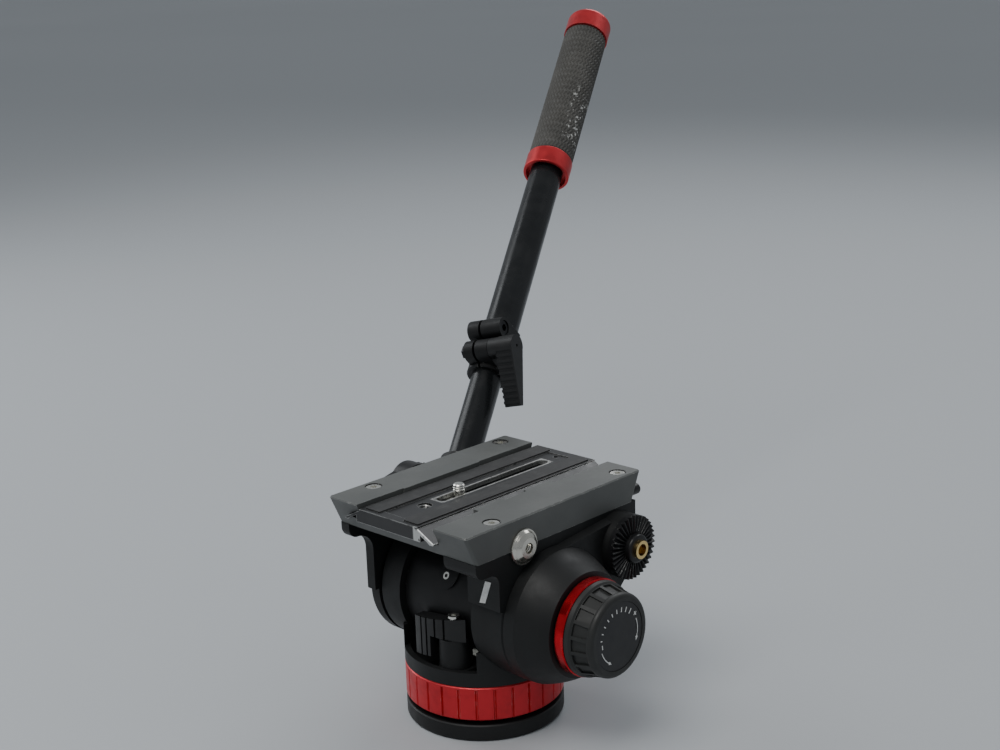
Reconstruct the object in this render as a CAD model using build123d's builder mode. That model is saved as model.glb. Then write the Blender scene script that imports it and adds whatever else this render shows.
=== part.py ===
from build123d import *
import os
from math import asin, atan2, cos, degrees, hypot, pi, radians, sin, sqrt

# Fluid video head with a flat base, a sliding camera plate and a telescopic pan bar.
# Millimetres. Origin: centre of the base's bottom face. +Z: pan axis, up.
# +X: side of the tilt-drag knob. -Y: front of the head, +Y: rear, where the pan bar is.

os.makedirs("parts", exist_ok=True)

# ---------------------------------------------------------------- driving dimensions
gap = 0.3                    # clearance between pieces that move past each other
fit = 0.05                   # radial running clearance of shafts and pins

base_r = 44.0                # base disc, drag ring and fork flange share this radius
base_h = 9.5
ring_z0 = 12.3               # pan-drag ring
ring_z1 = 31.7
flange_z0 = 32.0             # lower rim of the fork
flange_z1 = 40.0
floor_z = 33.0               # floor of the fork's cup
thread_r = 3.97              # tapping radius of a 3/8"-16 thread
small_thread_r = 2.85        # tapping radius of a 1/4"-20 thread

tilt_z = 70.0                # height of the tilt axis, which runs along X at y = 0
shaft_r = 8.0
drum_r = 31.5
drum_half = 27.6
arm_in = 28.0                # inner faces of the fork arms
arm_r = 36.9
left_arm_out = 43.6
right_arm_out = 51.0
side_in = 44.4               # inner face of the left side housing
side_out = 51.4              # outer face of both side housings
side_r = 37.2
hood_r = arm_r + 0.5         # tilting parts clear the fork arms at this radius

platform_w = 103.8
platform_z0 = 113.5
platform_z1 = 130.0
platform_front = -62.1
platform_rear = 75.9
platform_undercut = 7.5      # both ends lean in by this much towards the bottom
channel_z = 120.0

plate_x = -6.0               # centre of the camera plate
plate_l = 140.0
plate_front = -61.3
plate_z0 = channel_z + gap
plate_z1 = 127.7
plate_top_half = 22.0
plate_tip_half = 33.6

rosette_y = 53.3
rosette_z = 94.0
rosette_r = 18.0
rosette_hub_r = 8.1
rosette_x = 65.0             # plane of the tooth tips
tooth_count = 36
tooth_depth = 1.8

knob_x0 = 76.4
knob_x1 = 98.4

bar_x = -74.7                # the pan bar's axis meets the rosette axis here
bar_splay = 19.0             # outward lean of the bar, in degrees
bar_rise = 41.7              # its angle above the horizontal, in degrees
inner_tube_r = 9.8
outer_tube_r = 11.1
tube_wall = 1.2


def save(builder, name):
    """Label a finished piece and write it."""
    builder.part.label = name
    export_step(builder.part, f"parts/{name}.step")


def tilt_plane(x):
    """Plane across the tilt axis at x; its own x is +Y, its own y is +Z."""
    return Plane(origin=(x, 0, tilt_z), x_dir=(0, 1, 0), z_dir=(1, 0, 0))


def axis_plane(x, y, z, side=1):
    """Plane facing +X (side 1) or -X (side -1) with its origin at the point."""
    return Plane(origin=(x, y, z), x_dir=(0, side, 0), z_dir=(side, 0, 0))


DOWN = (Align.CENTER, Align.CENTER, Align.MAX)
UP = (Align.CENTER, Align.CENTER, Align.MIN)

# ---------------------------------------------------------------- base (stands still)
insert_r = 8.0
spindle_r = 9.0
spindle_flange_r = 26.0
spindle_flange_z = 13.5
base_screw_ring = 19.0
base_screw_r = 2.5
base_screw_head_r = 4.3
base_screw_head_h = 4.5
lock_hole_ring = 36.0
lock_hole_r = 2.6

with BuildPart() as base_disc:
    Cylinder(base_r, base_h, align=UP)
    fillet(base_disc.edges().filter_by(GeomType.CIRCLE).sort_by(Axis.Z)[0], 2.0)
    chamfer(base_disc.edges().filter_by(GeomType.CIRCLE).sort_by(Axis.Z)[-1], 0.6)
    with BuildSketch(Plane.XY):
        Circle(31.0)
        Circle(26.0, mode=Mode.SUBTRACT)
    extrude(amount=1.2, mode=Mode.SUBTRACT)
    with BuildSketch(Plane.XY):
        Circle(insert_r)
        with PolarLocations(base_screw_ring, 3):
            Circle(base_screw_r)
        with PolarLocations(lock_hole_ring, 3, start_angle=60):
            Circle(lock_hole_r)
    extrude(amount=base_h, mode=Mode.SUBTRACT)
    with BuildSketch(Plane.XY):
        with PolarLocations(base_screw_ring, 3):
            Circle(base_screw_head_r)
    extrude(amount=base_screw_head_h + 0.5, mode=Mode.SUBTRACT)
save(base_disc, "base_disc")

with BuildPart() as base_thread_insert:
    Cylinder(insert_r, base_h, align=UP)
    Cylinder(thread_r, base_h, align=UP, mode=Mode.SUBTRACT)
    chamfer(base_thread_insert.edges().filter_by(GeomType.CIRCLE).group_by(Axis.Z)[0], 0.5)
save(base_thread_insert, "base_thread_insert")

with BuildPart() as base_screws:
    with BuildSketch(Plane.XY.offset(0.5)):
        with PolarLocations(base_screw_ring, 3):
            Circle(base_screw_head_r - 0.1)
    extrude(amount=base_screw_head_h)
    with BuildSketch(Plane.XY.offset(0.5)):
        with PolarLocations(base_screw_ring, 3):
            RegularPolygon(2.3, 6)
    extrude(amount=2.4, mode=Mode.SUBTRACT)
    with BuildSketch(Plane.XY.offset(0.5 + base_screw_head_h)):
        with PolarLocations(base_screw_ring, 3):
            Circle(base_screw_r - 0.05)
    extrude(amount=8.0)
save(base_screws, "base_screws")

spindle_top = 37.6
with BuildPart() as pan_spindle:
    with BuildSketch(Plane.XY.offset(base_h)):
        Circle(spindle_flange_r)
        with PolarLocations(base_screw_ring, 3):
            Circle(base_screw_r, mode=Mode.SUBTRACT)
    extrude(amount=spindle_flange_z - base_h)
    with BuildSketch(Plane.XY.offset(spindle_flange_z)):
        Circle(spindle_r)
    extrude(amount=floor_z + 0.2 - spindle_flange_z)
    with BuildSketch(Plane.XY.offset(floor_z + 0.2)):
        Circle(6.0)
    extrude(amount=spindle_top - floor_z - 0.2)
    with BuildSketch(Plane.XY.offset(base_h)):
        Circle(thread_r + 1.0)
    extrude(amount=9.0, mode=Mode.SUBTRACT)
save(pan_spindle, "pan_spindle")

with BuildPart() as pan_fluid_cartridge:
    with BuildSketch(Plane.XY.offset(spindle_flange_z)):
        Circle(28.6)
        Circle(17.3, mode=Mode.SUBTRACT)
        with PolarLocations(base_screw_ring, 3):
            Circle(base_screw_r + 0.3, mode=Mode.SUBTRACT)
    extrude(amount=14.4)
save(pan_fluid_cartridge, "pan_fluid_cartridge")

with BuildPart() as spindle_washer:
    with BuildSketch(Plane.XY.offset(floor_z + 0.3)):
        Circle(12.5)
        Circle(6.1, mode=Mode.SUBTRACT)
    extrude(amount=1.0)
save(spindle_washer, "spindle_washer")

with BuildPart() as spindle_nut:
    with BuildSketch(Plane.XY.offset(floor_z + 1.3)):
        RegularPolygon(9.5, 6)
        Circle(6.1, mode=Mode.SUBTRACT)
    extrude(amount=3.2)
save(spindle_nut, "spindle_nut")

# ---------------------------------------------------------------- pan-drag ring
pad_count = 28
groove_depth = 1.2
groove_half = 0.95
ring_inner_r = 34.3

with BuildPart() as pan_drag_ring:
    with BuildSketch(Plane.XY.offset(ring_z0)):
        Circle(base_r)
        Circle(ring_inner_r, mode=Mode.SUBTRACT)
    extrude(amount=ring_z1 - ring_z0)
    chamfer(pan_drag_ring.edges().filter_by(GeomType.CIRCLE).sort_by(SortBy.RADIUS)[-2:], 0.8)
    with BuildSketch(Plane.XY.offset(ring_z0)):
        with PolarLocations(base_r, pad_count):
            Polygon((0.2, -groove_half), (0.2, groove_half), (-groove_depth, 0.25), (-groove_depth, -0.25),
                    align=None)
    extrude(amount=ring_z1 - ring_z0 - 1.6, mode=Mode.SUBTRACT)
save(pan_drag_ring, "pan_drag_ring")

# ---------------------------------------------------------------- fork (turns about Z)
hub_r = 16.0
hub_bore_r = 11.0
skirt_out = 34.0
skirt_in = 30.0
skirt_z0 = 12.0
cup_r = 40.5
bearing_r = 13.0
bearing_w = 9.0
arm_bore_r = 9.5
pan_lock_x = 10.0            # boss that carries the pan-lock lever
pan_lock_y = -31.2
pan_lock_r = 9.0
lever_z0 = 56.4
lever_z1 = 69.2
pin_r = 2.0
pin_x = 14.2
pin_y = -36.0

with BuildPart() as fork_housing:
    with BuildSketch(tilt_plane(arm_in)):
        Circle(arm_r)
    extrude(amount=right_arm_out - arm_in)
    with BuildSketch(tilt_plane(-left_arm_out)):
        Circle(arm_r - 1.2)
    extrude(amount=left_arm_out - arm_in)
    chamfer((fork_housing.edges().filter_by(GeomType.CIRCLE).sort_by(Axis.X)[0],
             fork_housing.edges().filter_by(GeomType.CIRCLE).sort_by(Axis.X)[-1]), 1.4)
    # feet that carry the arms, inside the flange's round outline
    with BuildSketch(Plane.XY.offset(flange_z0)):
        Circle(base_r)
        Rectangle(2 * arm_in, 3 * base_r, mode=Mode.SUBTRACT)
    extrude(amount=52.0 - flange_z0)
    with BuildSketch(Plane.XY.offset(flange_z0)):
        Circle(base_r)
    extrude(amount=flange_z1 - flange_z0)
    with BuildSketch(Plane.XY.offset(floor_z)):
        Circle(cup_r)
        with Locations((-arm_in - 20, 0), (arm_in + 20, 0)):
            Rectangle(40, 3 * base_r, mode=Mode.SUBTRACT)
    extrude(amount=flange_z1 - floor_z, mode=Mode.SUBTRACT)
    # skirt that the drag ring turns on, hub that turns on the spindle
    with BuildSketch(Plane.XY.offset(skirt_z0)):
        Circle(skirt_out)
        Circle(skirt_in, mode=Mode.SUBTRACT)
    extrude(amount=floor_z - skirt_z0)
    with BuildSketch(Plane.XY.offset(28.4)):
        Circle(skirt_out)
    extrude(amount=floor_z - 28.4)
    with BuildSketch(Plane.XY.offset(14.0)):
        Circle(hub_r)
    extrude(amount=floor_z - 14.0)
    with BuildSketch(Plane.XY.offset(14.0)):
        Circle(hub_bore_r)
    extrude(amount=floor_z - 14.0, mode=Mode.SUBTRACT)
    # the tilt drum turns between the arms, the shaft turns inside them
    with BuildSketch(tilt_plane(-arm_in)):
        Circle(drum_r + 1.1)
    extrude(amount=2 * arm_in, mode=Mode.SUBTRACT)
    with BuildSketch(tilt_plane(-left_arm_out)):
        Circle(arm_bore_r)
    extrude(amount=left_arm_out + right_arm_out, mode=Mode.SUBTRACT)
    with BuildSketch(tilt_plane(-arm_in - bearing_w)):
        Circle(bearing_r)
    extrude(amount=2 * (arm_in + bearing_w), mode=Mode.SUBTRACT)
    # the left side housing sweeps past the flange here
    with BuildSketch(tilt_plane(-left_arm_out - 8)):
        Circle(side_r + 0.3)
    extrude(amount=8, mode=Mode.SUBTRACT)
save(fork_housing, "fork_housing")

with BuildPart() as ring_retainer:
    with BuildSketch(Plane.XY.offset(skirt_z0 - 1.4)):
        Circle(38.0)
        Circle(skirt_in, mode=Mode.SUBTRACT)
    extrude(amount=1.4)
save(ring_retainer, "ring_retainer")

with BuildPart() as pan_bushings:
    with BuildSketch(Plane.XY.offset(14.0), Plane.XY.offset(26.0)):
        Circle(hub_bore_r)
        Circle(spindle_r + fit, mode=Mode.SUBTRACT)
    extrude(amount=7.0)
save(pan_bushings, "pan_bushings")

with BuildPart() as tilt_bearings:
    with BuildSketch(tilt_plane(-arm_in - bearing_w), tilt_plane(arm_in)):
        Circle(bearing_r)
        Circle(shaft_r + fit, mode=Mode.SUBTRACT)
    extrude(amount=bearing_w)
    with BuildSketch(*[tilt_plane(x) for x in (-arm_in - bearing_w, -arm_in - 0.8, arm_in,
                                               arm_in + bearing_w - 0.8)]):
        Circle(11.6)
        Circle(9.6, mode=Mode.SUBTRACT)
    extrude(amount=0.8, mode=Mode.SUBTRACT)
save(tilt_bearings, "tilt_bearings")

with BuildPart() as pan_lock_boss:
    with BuildSketch(Plane.XY.offset(floor_z)):
        with Locations((pan_lock_x, pan_lock_y)):
            Circle(pan_lock_r)
    extrude(amount=lever_z0 - gap - floor_z)
    with BuildSketch(Plane.XY.offset(floor_z)):
        with Locations((pan_lock_x, -28.8)):
            Circle(11.2)
    extrude(amount=6.5)
    with BuildSketch(tilt_plane(-arm_in)):
        Circle(drum_r + 1.4)
    extrude(amount=2 * arm_in, mode=Mode.SUBTRACT)
    with BuildSketch(Plane.XY.offset(floor_z)):
        Circle(12.8)
    extrude(amount=12, mode=Mode.SUBTRACT)
    with BuildSketch(Plane.XY.offset(floor_z)):
        Circle(2 * base_r)
        Circle(cup_r - fit, mode=Mode.SUBTRACT)
    extrude(amount=flange_z1 + fit - floor_z, mode=Mode.SUBTRACT)
    with BuildSketch(Plane.XY.offset(floor_z + 8)):
        with Locations((pin_x, pin_y)):
            Circle(pin_r)
    extrude(amount=lever_z0 - floor_z, mode=Mode.SUBTRACT)
save(pan_lock_boss, "pan_lock_boss")

with BuildPart() as pan_lock_pin:
    with BuildSketch(Plane.XY.offset(floor_z + 8)):
        with Locations((pin_x, pin_y)):
            Circle(pin_r)
    extrude(amount=lever_z1 + 0.2 - floor_z - 8)
    with BuildSketch(Plane.XY.offset(lever_z1 + 0.2)):
        with Locations((pin_x, pin_y)):
            Circle(3.1)
    extrude(amount=1.2)
    with BuildSketch(Plane.XY.offset(lever_z1 + 0.6)):
        with Locations((pin_x, pin_y)):
            RegularPolygon(1.5, 6)
    extrude(amount=1.0, mode=Mode.SUBTRACT)
save(pan_lock_pin, "pan_lock_pin")

level_y = 32.2
with BuildPart() as level_housing:
    with BuildSketch(Plane.XY.offset(floor_z)):
        with Locations((0, level_y)):
            Circle(7.6)
    extrude(amount=8.0)
    fillet(level_housing.edges().filter_by(GeomType.CIRCLE).sort_by(Axis.Z)[-1], 0.8)
    with BuildSketch(Plane.XY.offset(floor_z + 2.0)):
        with Locations((0, level_y)):
            Circle(5.6)
    extrude(amount=6.0, mode=Mode.SUBTRACT)
save(level_housing, "level_housing")

with BuildPart() as level_vial:
    with BuildSketch(Plane.XY.offset(floor_z + 2.0)):
        with Locations((0, level_y)):
            Circle(5.6)
    extrude(amount=5.2)
save(level_vial, "level_vial")

# pan-lock lever: an arm across the pivot with a ribbed thumb grip hanging at its left end
lever_x0 = -12.7
lever_x1 = 24.6
lever_out_r = 41.0
lever_left_z = 64.4
lever_right_z = 69.8
grip_x1 = 0.5
grip_z0 = 42.5
lever_back_y = 24.0             # blank starts this far in front of the pan axis
lever_depth = 20.0
lever_in_r = 36.0
drum_clearance = 1.4
rib_xs = (-6.8, -2.3, 4.0, 10.0)
rib_w = 1.3
rib_depth = 1.8
notch_x = 2.6                   # clears the pin to its right
notch_y = -34.8
notch_w = 20.0

with BuildPart() as pan_lock_lever:
    with BuildSketch(Plane.XZ.offset(lever_back_y)):
        Polygon((lever_x0, lever_left_z), (lever_x1, lever_right_z),
                (lever_x1, lever_z0), (grip_x1, lever_z0),
                (grip_x1, grip_z0 + 2.0), (lever_x0, grip_z0), align=None)
    extrude(amount=lever_depth)
    with BuildSketch(Plane.XY.offset(grip_z0)):
        Circle(lever_out_r)
    extrude(amount=lever_right_z - grip_z0, mode=Mode.INTERSECT)
    with BuildSketch(Plane.XY.offset(grip_z0)):
        Circle(lever_in_r)
    extrude(amount=lever_z0 - grip_z0, mode=Mode.SUBTRACT)
    with BuildSketch(tilt_plane(-arm_in)):
        Circle(drum_r + drum_clearance)
    extrude(amount=2 * arm_in, mode=Mode.SUBTRACT)
    with BuildSketch(Plane.XY.offset(lever_z0 - 1)):
        with Locations((pin_x, pin_y)):
            Circle(pin_r + fit)
    extrude(amount=lever_right_z - lever_z0 + 2, mode=Mode.SUBTRACT)
    with BuildSketch(Plane.XY.offset(grip_z0)):
        for rib_x in rib_xs:
            with Locations((rib_x, -sqrt(lever_out_r ** 2 - rib_x ** 2))):
                Rectangle(rib_w, rib_depth)
    extrude(amount=lever_right_z - grip_z0, mode=Mode.SUBTRACT)
    # the short end swings in towards the drum when the grip is pulled out
    with BuildSketch(Plane.XY.offset(lever_z0 - 1)):
        with Locations((pin_x + notch_x + notch_w / 2, notch_y + notch_w / 2)):
            Rectangle(notch_w, notch_w)
    extrude(amount=lever_right_z - lever_z0 + 2, mode=Mode.SUBTRACT)
save(pan_lock_lever, "pan_lock_lever")

# ---------------------------------------------------------------- tilting body
shaft_x0 = -side_out + 0.6
shaft_x1 = 92.0
shaft_step_x = 74.0
with BuildPart() as tilt_shaft:
    with BuildSketch(tilt_plane(shaft_x0)):
        Circle(shaft_r)
    extrude(amount=shaft_step_x - shaft_x0)
    with BuildSketch(tilt_plane(shaft_step_x)):
        Circle(5.0)
    extrude(amount=shaft_x1 - shaft_step_x)
save(tilt_shaft, "tilt_shaft")

drum_wall = 3.0
neck_half_x = 22.0
neck_y0 = -13.0
neck_y1 = 19.0
pocket_z = 116.0
pad_x0 = -6.2
pad_x1 = 9.2
pad_z0 = 80.5
pad_r = drum_r + 0.9
lock_shaft_r = 2.5
lock_y = 4.5
lock_z = 116.6

# tongue-shaped pad on the drum's front
with BuildPart() as drum_pad:
    with BuildSketch(tilt_plane(pad_x0)):
        Circle(pad_r)
        Circle(drum_r - 1.0, mode=Mode.SUBTRACT)
    extrude(amount=pad_x1 - pad_x0)
    with BuildSketch(Plane.XZ.offset(12.0)):
        with Locations(((pad_x0 + pad_x1) / 2, pad_z0 + (pad_x1 - pad_x0) / 2)):
            Circle((pad_x1 - pad_x0) / 2)
            Rectangle(pad_x1 - pad_x0, 40.0, align=(Align.CENTER, Align.MIN))
    extrude(amount=24.0, mode=Mode.INTERSECT)

# screw sunk into the pad's face
pad_screw_angle = 148.5
pad_screw_r = 2.1
pad_screw_h = 0.7
pad_screw_dir = Vector(0, cos(radians(pad_screw_angle)), sin(radians(pad_screw_angle)))
pad_screw_plane = Plane(origin=Vector(1, 0, tilt_z) + pad_screw_dir * (pad_r - pad_screw_h - 0.1),
                        x_dir=(1, 0, 0), z_dir=pad_screw_dir)

with BuildPart() as tilt_drum:
    with BuildSketch(tilt_plane(-drum_half)):
        Circle(drum_r)
    extrude(amount=2 * drum_half)
    add(drum_pad.part)
    with BuildSketch(pad_screw_plane):
        Circle(pad_screw_r)
    extrude(amount=2 * pad_screw_h, mode=Mode.SUBTRACT)
    with BuildSketch(Plane.XY.offset(tilt_z)):
        with Locations((0, (neck_y0 + neck_y1) / 2)):
            Rectangle(2 * neck_half_x, neck_y1 - neck_y0)
    extrude(amount=pocket_z - tilt_z)
    with BuildSketch(tilt_plane(-drum_half)):
        Circle(drum_r - drum_wall)
    extrude(amount=2 * drum_half - drum_wall, mode=Mode.SUBTRACT)
    with BuildSketch(tilt_plane(-drum_half)):
        Circle(shaft_r)
    extrude(amount=2 * drum_half, mode=Mode.SUBTRACT)
    with BuildSketch(Plane(origin=(-drum_half, lock_y, lock_z), x_dir=(0, 1, 0), z_dir=(1, 0, 0))):
        Circle(lock_shaft_r + 0.3)
    extrude(amount=2 * drum_half, mode=Mode.SUBTRACT)
save(tilt_drum, "tilt_drum")

with BuildPart() as drum_cover:
    with BuildSketch(tilt_plane(-drum_half)):
        Circle(drum_r - drum_wall)
        Circle(shaft_r, mode=Mode.SUBTRACT)
    extrude(amount=2.6)
save(drum_cover, "drum_cover")

with BuildPart() as drum_screw:
    with BuildSketch(pad_screw_plane):
        Circle(pad_screw_r)
    extrude(amount=pad_screw_h)
    with BuildSketch(pad_screw_plane):
        RegularPolygon(1.1, 6)
    extrude(amount=pad_screw_h, mode=Mode.SUBTRACT)
save(drum_screw, "drum_screw")

# clock spring that balances the camera: half circles of growing radius
spring_r0 = 10.5
spring_pitch = 3.1
spring_turns = 5
spring_strip = 1.1
with BuildPart() as counterbalance_spring:
    with BuildSketch(tilt_plane(-20.0)):
        with BuildLine() as spring_line:
            for half in range(2 * spring_turns):
                radius = spring_r0 + half * spring_pitch / 2
                centre_y = 0.0 if half % 2 == 0 else -spring_pitch / 2
                CenterArc((centre_y, 0), radius, 180 * (half % 2), 180)
        trace(line_width=spring_strip)
    extrude(amount=12.0)
save(counterbalance_spring, "counterbalance_spring")

with BuildPart() as tilt_fluid_cartridge:
    with BuildSketch(tilt_plane(-4.0)):
        Circle(27.6)
        Circle(shaft_r, mode=Mode.SUBTRACT)
    extrude(amount=26.0)
save(tilt_fluid_cartridge, "tilt_fluid_cartridge")

# side housings
shoulder_y = -55.0
neck_front = -38.6
shoulder_small = 5.8
shoulder_reach = neck_front - shoulder_small - shoulder_y
ledge_in = 39.0
ledge_z = 108.4
screw_x = 44.6
screw_ys = (-35.7, 64.4)
link_y = -20.7
link_z = 114.0
link_shank_r = 6.3
rear_y = rosette_y + rosette_r
right_hollow = 6.0
boss_dy = rosette_y
boss_dz = rosette_z - tilt_z
boss_dist = hypot(boss_dy, boss_dz)
boss_angle = degrees(atan2(boss_dz, boss_dy))


def tangent_points(r1, r2, side):
    """Ends of the outer tangent from the axis circle to the rosette boss circle, about the tilt axis."""
    lean = degrees(asin((r1 - r2) / boss_dist))
    normal = radians(boss_angle + side * (90 - lean))
    first = (r1 * cos(normal), r1 * sin(normal))
    second = (boss_dy + r2 * cos(normal), boss_dz + r2 * sin(normal))
    return first, second


def shoulder_line(big):
    """Front edge of a side housing: up the neck,
            round a hollow of this radius, forward to the platform's edge."""
    under = platform_z0 - tilt_z - shoulder_small - 3.0
    Line((neck_front, 0), (neck_front, under - big))
    CenterArc((neck_front - big, under - big), big, 0, 90)
    if big < shoulder_reach:
        Line((neck_front - big, under), (neck_front - shoulder_reach, under))
    CenterArc((neck_front - shoulder_reach, under + shoulder_small), shoulder_small, 270, -90)
    Line((shoulder_y, under + shoulder_small), (shoulder_y, platform_z0 - tilt_z))


def cheek_face(disc_r, big):
    """Side outline: disc about the tilt axis, front shoulder, platform edge, rosette boss."""
    low1, low2 = tangent_points(disc_r, rosette_r, -1)
    with BuildSketch() as outline:
        with BuildLine():
            shoulder_line(big)
            Line((shoulder_y, platform_z0 - tilt_z), (rear_y, platform_z0 - tilt_z))
            Line((rear_y, platform_z0 - tilt_z), (rear_y, boss_dz))
            Line((rear_y, boss_dz), low2)
            Line(low2, low1)
            Line(low1, (0, 0))
            Line((0, 0), (neck_front, 0))
        make_face()
        Circle(disc_r)
        with Locations((boss_dy, boss_dz)):
            Circle(rosette_r)
    return outline.sketch


left_outline = cheek_face(side_r - 1.2, shoulder_reach)
right_outline = cheek_face(side_r, right_hollow)


with BuildPart() as left_side_housing:
    with BuildSketch(tilt_plane(-side_out)):
        add(left_outline)
    extrude(amount=side_out - side_in)
    fillet(left_side_housing.faces().sort_by(Axis.X)[0].outer_wire().edges().filter_by(
        lambda e: e.center().Z < platform_z0 - 1), 1.2)
    with BuildSketch(tilt_plane(-side_out - 6.0)):
        with Locations((boss_dy, boss_dz)):
            Circle(rosette_r - 0.4)
    extrude(amount=6.0)
    with BuildSketch(Plane.XY.offset(ledge_z)):
        with Locations((-(ledge_in + side_out - 1) / 2, 5.0)):
            Rectangle(side_out - 1 - ledge_in, 100.0)
        with Locations((-(ledge_in + side_out - 1) / 2, 62.0)):
            Rectangle(side_out - 1 - ledge_in, 14.0)
    extrude(amount=platform_z0 - ledge_z)
    with BuildSketch(Plane.XY.offset(ledge_z)):
        with Locations(*[(-screw_x, y) for y in screw_ys]):
            Circle(1.9)
    extrude(amount=platform_z0 - ledge_z, mode=Mode.SUBTRACT)
    with BuildSketch(tilt_plane(shaft_x0)):
        Circle(shaft_r)
    extrude(amount=10, mode=Mode.SUBTRACT)
    with BuildSketch(tilt_plane(-side_out)):
        Circle(3.2)
    extrude(amount=10, mode=Mode.SUBTRACT)
    with BuildSketch(tilt_plane(-side_out - 6.0)):
        with Locations((boss_dy, boss_dz)):
            Circle(7.0)
    extrude(amount=10.0, mode=Mode.SUBTRACT)
save(left_side_housing, "left_side_housing")

dome_profile = ((58.0, 36.8), (66.0, 33.8), (75.5, 28.6))
web_out = 57.0
boss_out = 61.0
cavity_r = 24.0
hood_front_angle = 161.5

with BuildPart() as right_side_housing:
    # rear cheek and front wall, kept outside the fork arm's sweep
    with BuildSketch(tilt_plane(arm_in + 0.4)):
        with BuildLine():
            shoulder_line(right_hollow)
            Line((shoulder_y, platform_z0 - tilt_z), (30.0, platform_z0 - tilt_z))
            Line((30.0, platform_z0 - tilt_z), (0, 0))
            Line((0, 0), (neck_front, 0))
        make_face()
    extrude(amount=side_out - arm_in - 0.4)
    with BuildSketch(tilt_plane(side_in)):
        add(right_outline)
    extrude(amount=side_out - side_in)
    with BuildSketch(Plane.XY.offset(ledge_z)):
        with Locations(((ledge_in + side_out) / 2, 46.0)):
            Rectangle(side_out - ledge_in, 46.0)
    extrude(amount=platform_z0 - ledge_z)
    with BuildSketch(tilt_plane(arm_in)):
        Circle(hood_r)
    extrude(amount=side_out - arm_in, mode=Mode.SUBTRACT)
    # nothing of the hood reaches below its front and rear ends
    with BuildSketch(tilt_plane(arm_in)):
        with BuildLine():
            Line((0, 0), (90 * cos(radians(hood_front_angle)), 90 * sin(radians(hood_front_angle))))
            Line((90 * cos(radians(hood_front_angle)), 90 * sin(radians(hood_front_angle))), (-90, -60))
            Line((-90, -60), (0, -60))
            Line((0, -60), (0, 0))
        make_face()
    extrude(amount=side_out - arm_in, mode=Mode.SUBTRACT)
    # dome over the tilt cartridge, web and rosette boss
    with BuildSketch(Plane.XY.offset(tilt_z)):
        with BuildLine():
            Line((side_out, 0), (side_out, side_r))
            Line((side_out, side_r), dome_profile[0])
            ThreePointArc(dome_profile[0], dome_profile[1], dome_profile[2])
            Line(dome_profile[2], (dome_profile[2][0], 0))
            Line((dome_profile[2][0], 0), (side_out, 0))
        make_face()
    revolve(axis=Axis(origin=(0, 0, tilt_z), direction=(1, 0, 0)))
    with BuildSketch(tilt_plane(side_out)):
        with BuildLine():
            web_low1, web_low2 = tangent_points(side_r - 1.0, rosette_r - 1.0, -1)
            web_up1, web_up2 = tangent_points(side_r - 1.0, rosette_r - 1.0, 1)
            Polyline((0, 0), web_low1, web_low2, (boss_dy, boss_dz), web_up2, web_up1, (0, 0))
        make_face()
        with Locations((boss_dy, boss_dz)):
            Circle(rosette_r - 1.0)
    extrude(amount=web_out - side_out, taper=10)
    with BuildSketch(tilt_plane(side_out)):
        with Locations((boss_dy, boss_dz)):
            Circle(rosette_r)
    extrude(amount=boss_out - side_out, taper=2)
    # inside: cartridge cavity, shaft bore, insert bore, fastener holes
    with BuildSketch(tilt_plane(side_out - 0.1)):
        Circle(cavity_r)
    extrude(amount=dome_profile[2][0] - side_out - 2.5, mode=Mode.SUBTRACT)
    with BuildSketch(tilt_plane(side_out)):
        Circle(shaft_r)
    extrude(amount=30, mode=Mode.SUBTRACT)
    with BuildSketch(tilt_plane(side_in)):
        with Locations((boss_dy, boss_dz)):
            Circle(7.0)
    extrude(amount=20.0, mode=Mode.SUBTRACT)
    with BuildSketch(tilt_plane(side_in)):
        with Locations((link_y, link_z - tilt_z)):
            Circle(link_shank_r)
    extrude(amount=side_out - side_in, mode=Mode.SUBTRACT)
    with BuildSketch(Plane.XY.offset(ledge_z)):
        with Locations(*[(screw_x, y) for y in screw_ys]):
            Circle(1.9)
    extrude(amount=platform_z0 - ledge_z, mode=Mode.SUBTRACT)
save(right_side_housing, "right_side_housing")

with BuildPart() as tilt_drag_stack:
    with BuildSketch(tilt_plane(side_out + 0.2)):
        Circle(cavity_r)
        Circle(shaft_r, mode=Mode.SUBTRACT)
    extrude(amount=19.0)
save(tilt_drag_stack, "tilt_drag_stack")

mark_x = 41.3
mark_z = 91.9
with BuildPart() as index_mark:
    with BuildSketch(Plane(origin=(mark_x, neck_front, mark_z), x_dir=(1, 0, 0), z_dir=(0, -1, 0))):
        Polygon((-4.4, -7.0), (-0.3, -6.4), (4.4, 6.2), (0.3, 6.0), align=None)
    extrude(amount=0.25)
save(index_mark, "index_mark")

# ---------------------------------------------------------------- platform
rail_left_end = -29.2
rail_left_mid = -28.3
rail_right_end = 28.4
rail_right_mid = 24.2
mid_y0 = -28.0
mid_y1 = 30.5
jaw_y0 = -6.6
jaw_y1 = 10.4
jaw_out = 38.5
jaw_pocket_z = 127.8
flank_run = plate_tip_half - plate_top_half
flank_z0 = plate_z0 + 0.7
flank_z1 = plate_z1 - 0.8
flank_slope = (flank_z1 - flank_z0) / flank_run
flank_gap = 0.45             # vertical clearance over the plate's dovetail flanks


def flank_height(x_from_centre):
    """Height of the clearance line over the dovetail flank at this distance from the plate's centre."""
    return flank_z1 + flank_gap - flank_slope * (x_from_centre - plate_top_half)


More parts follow.
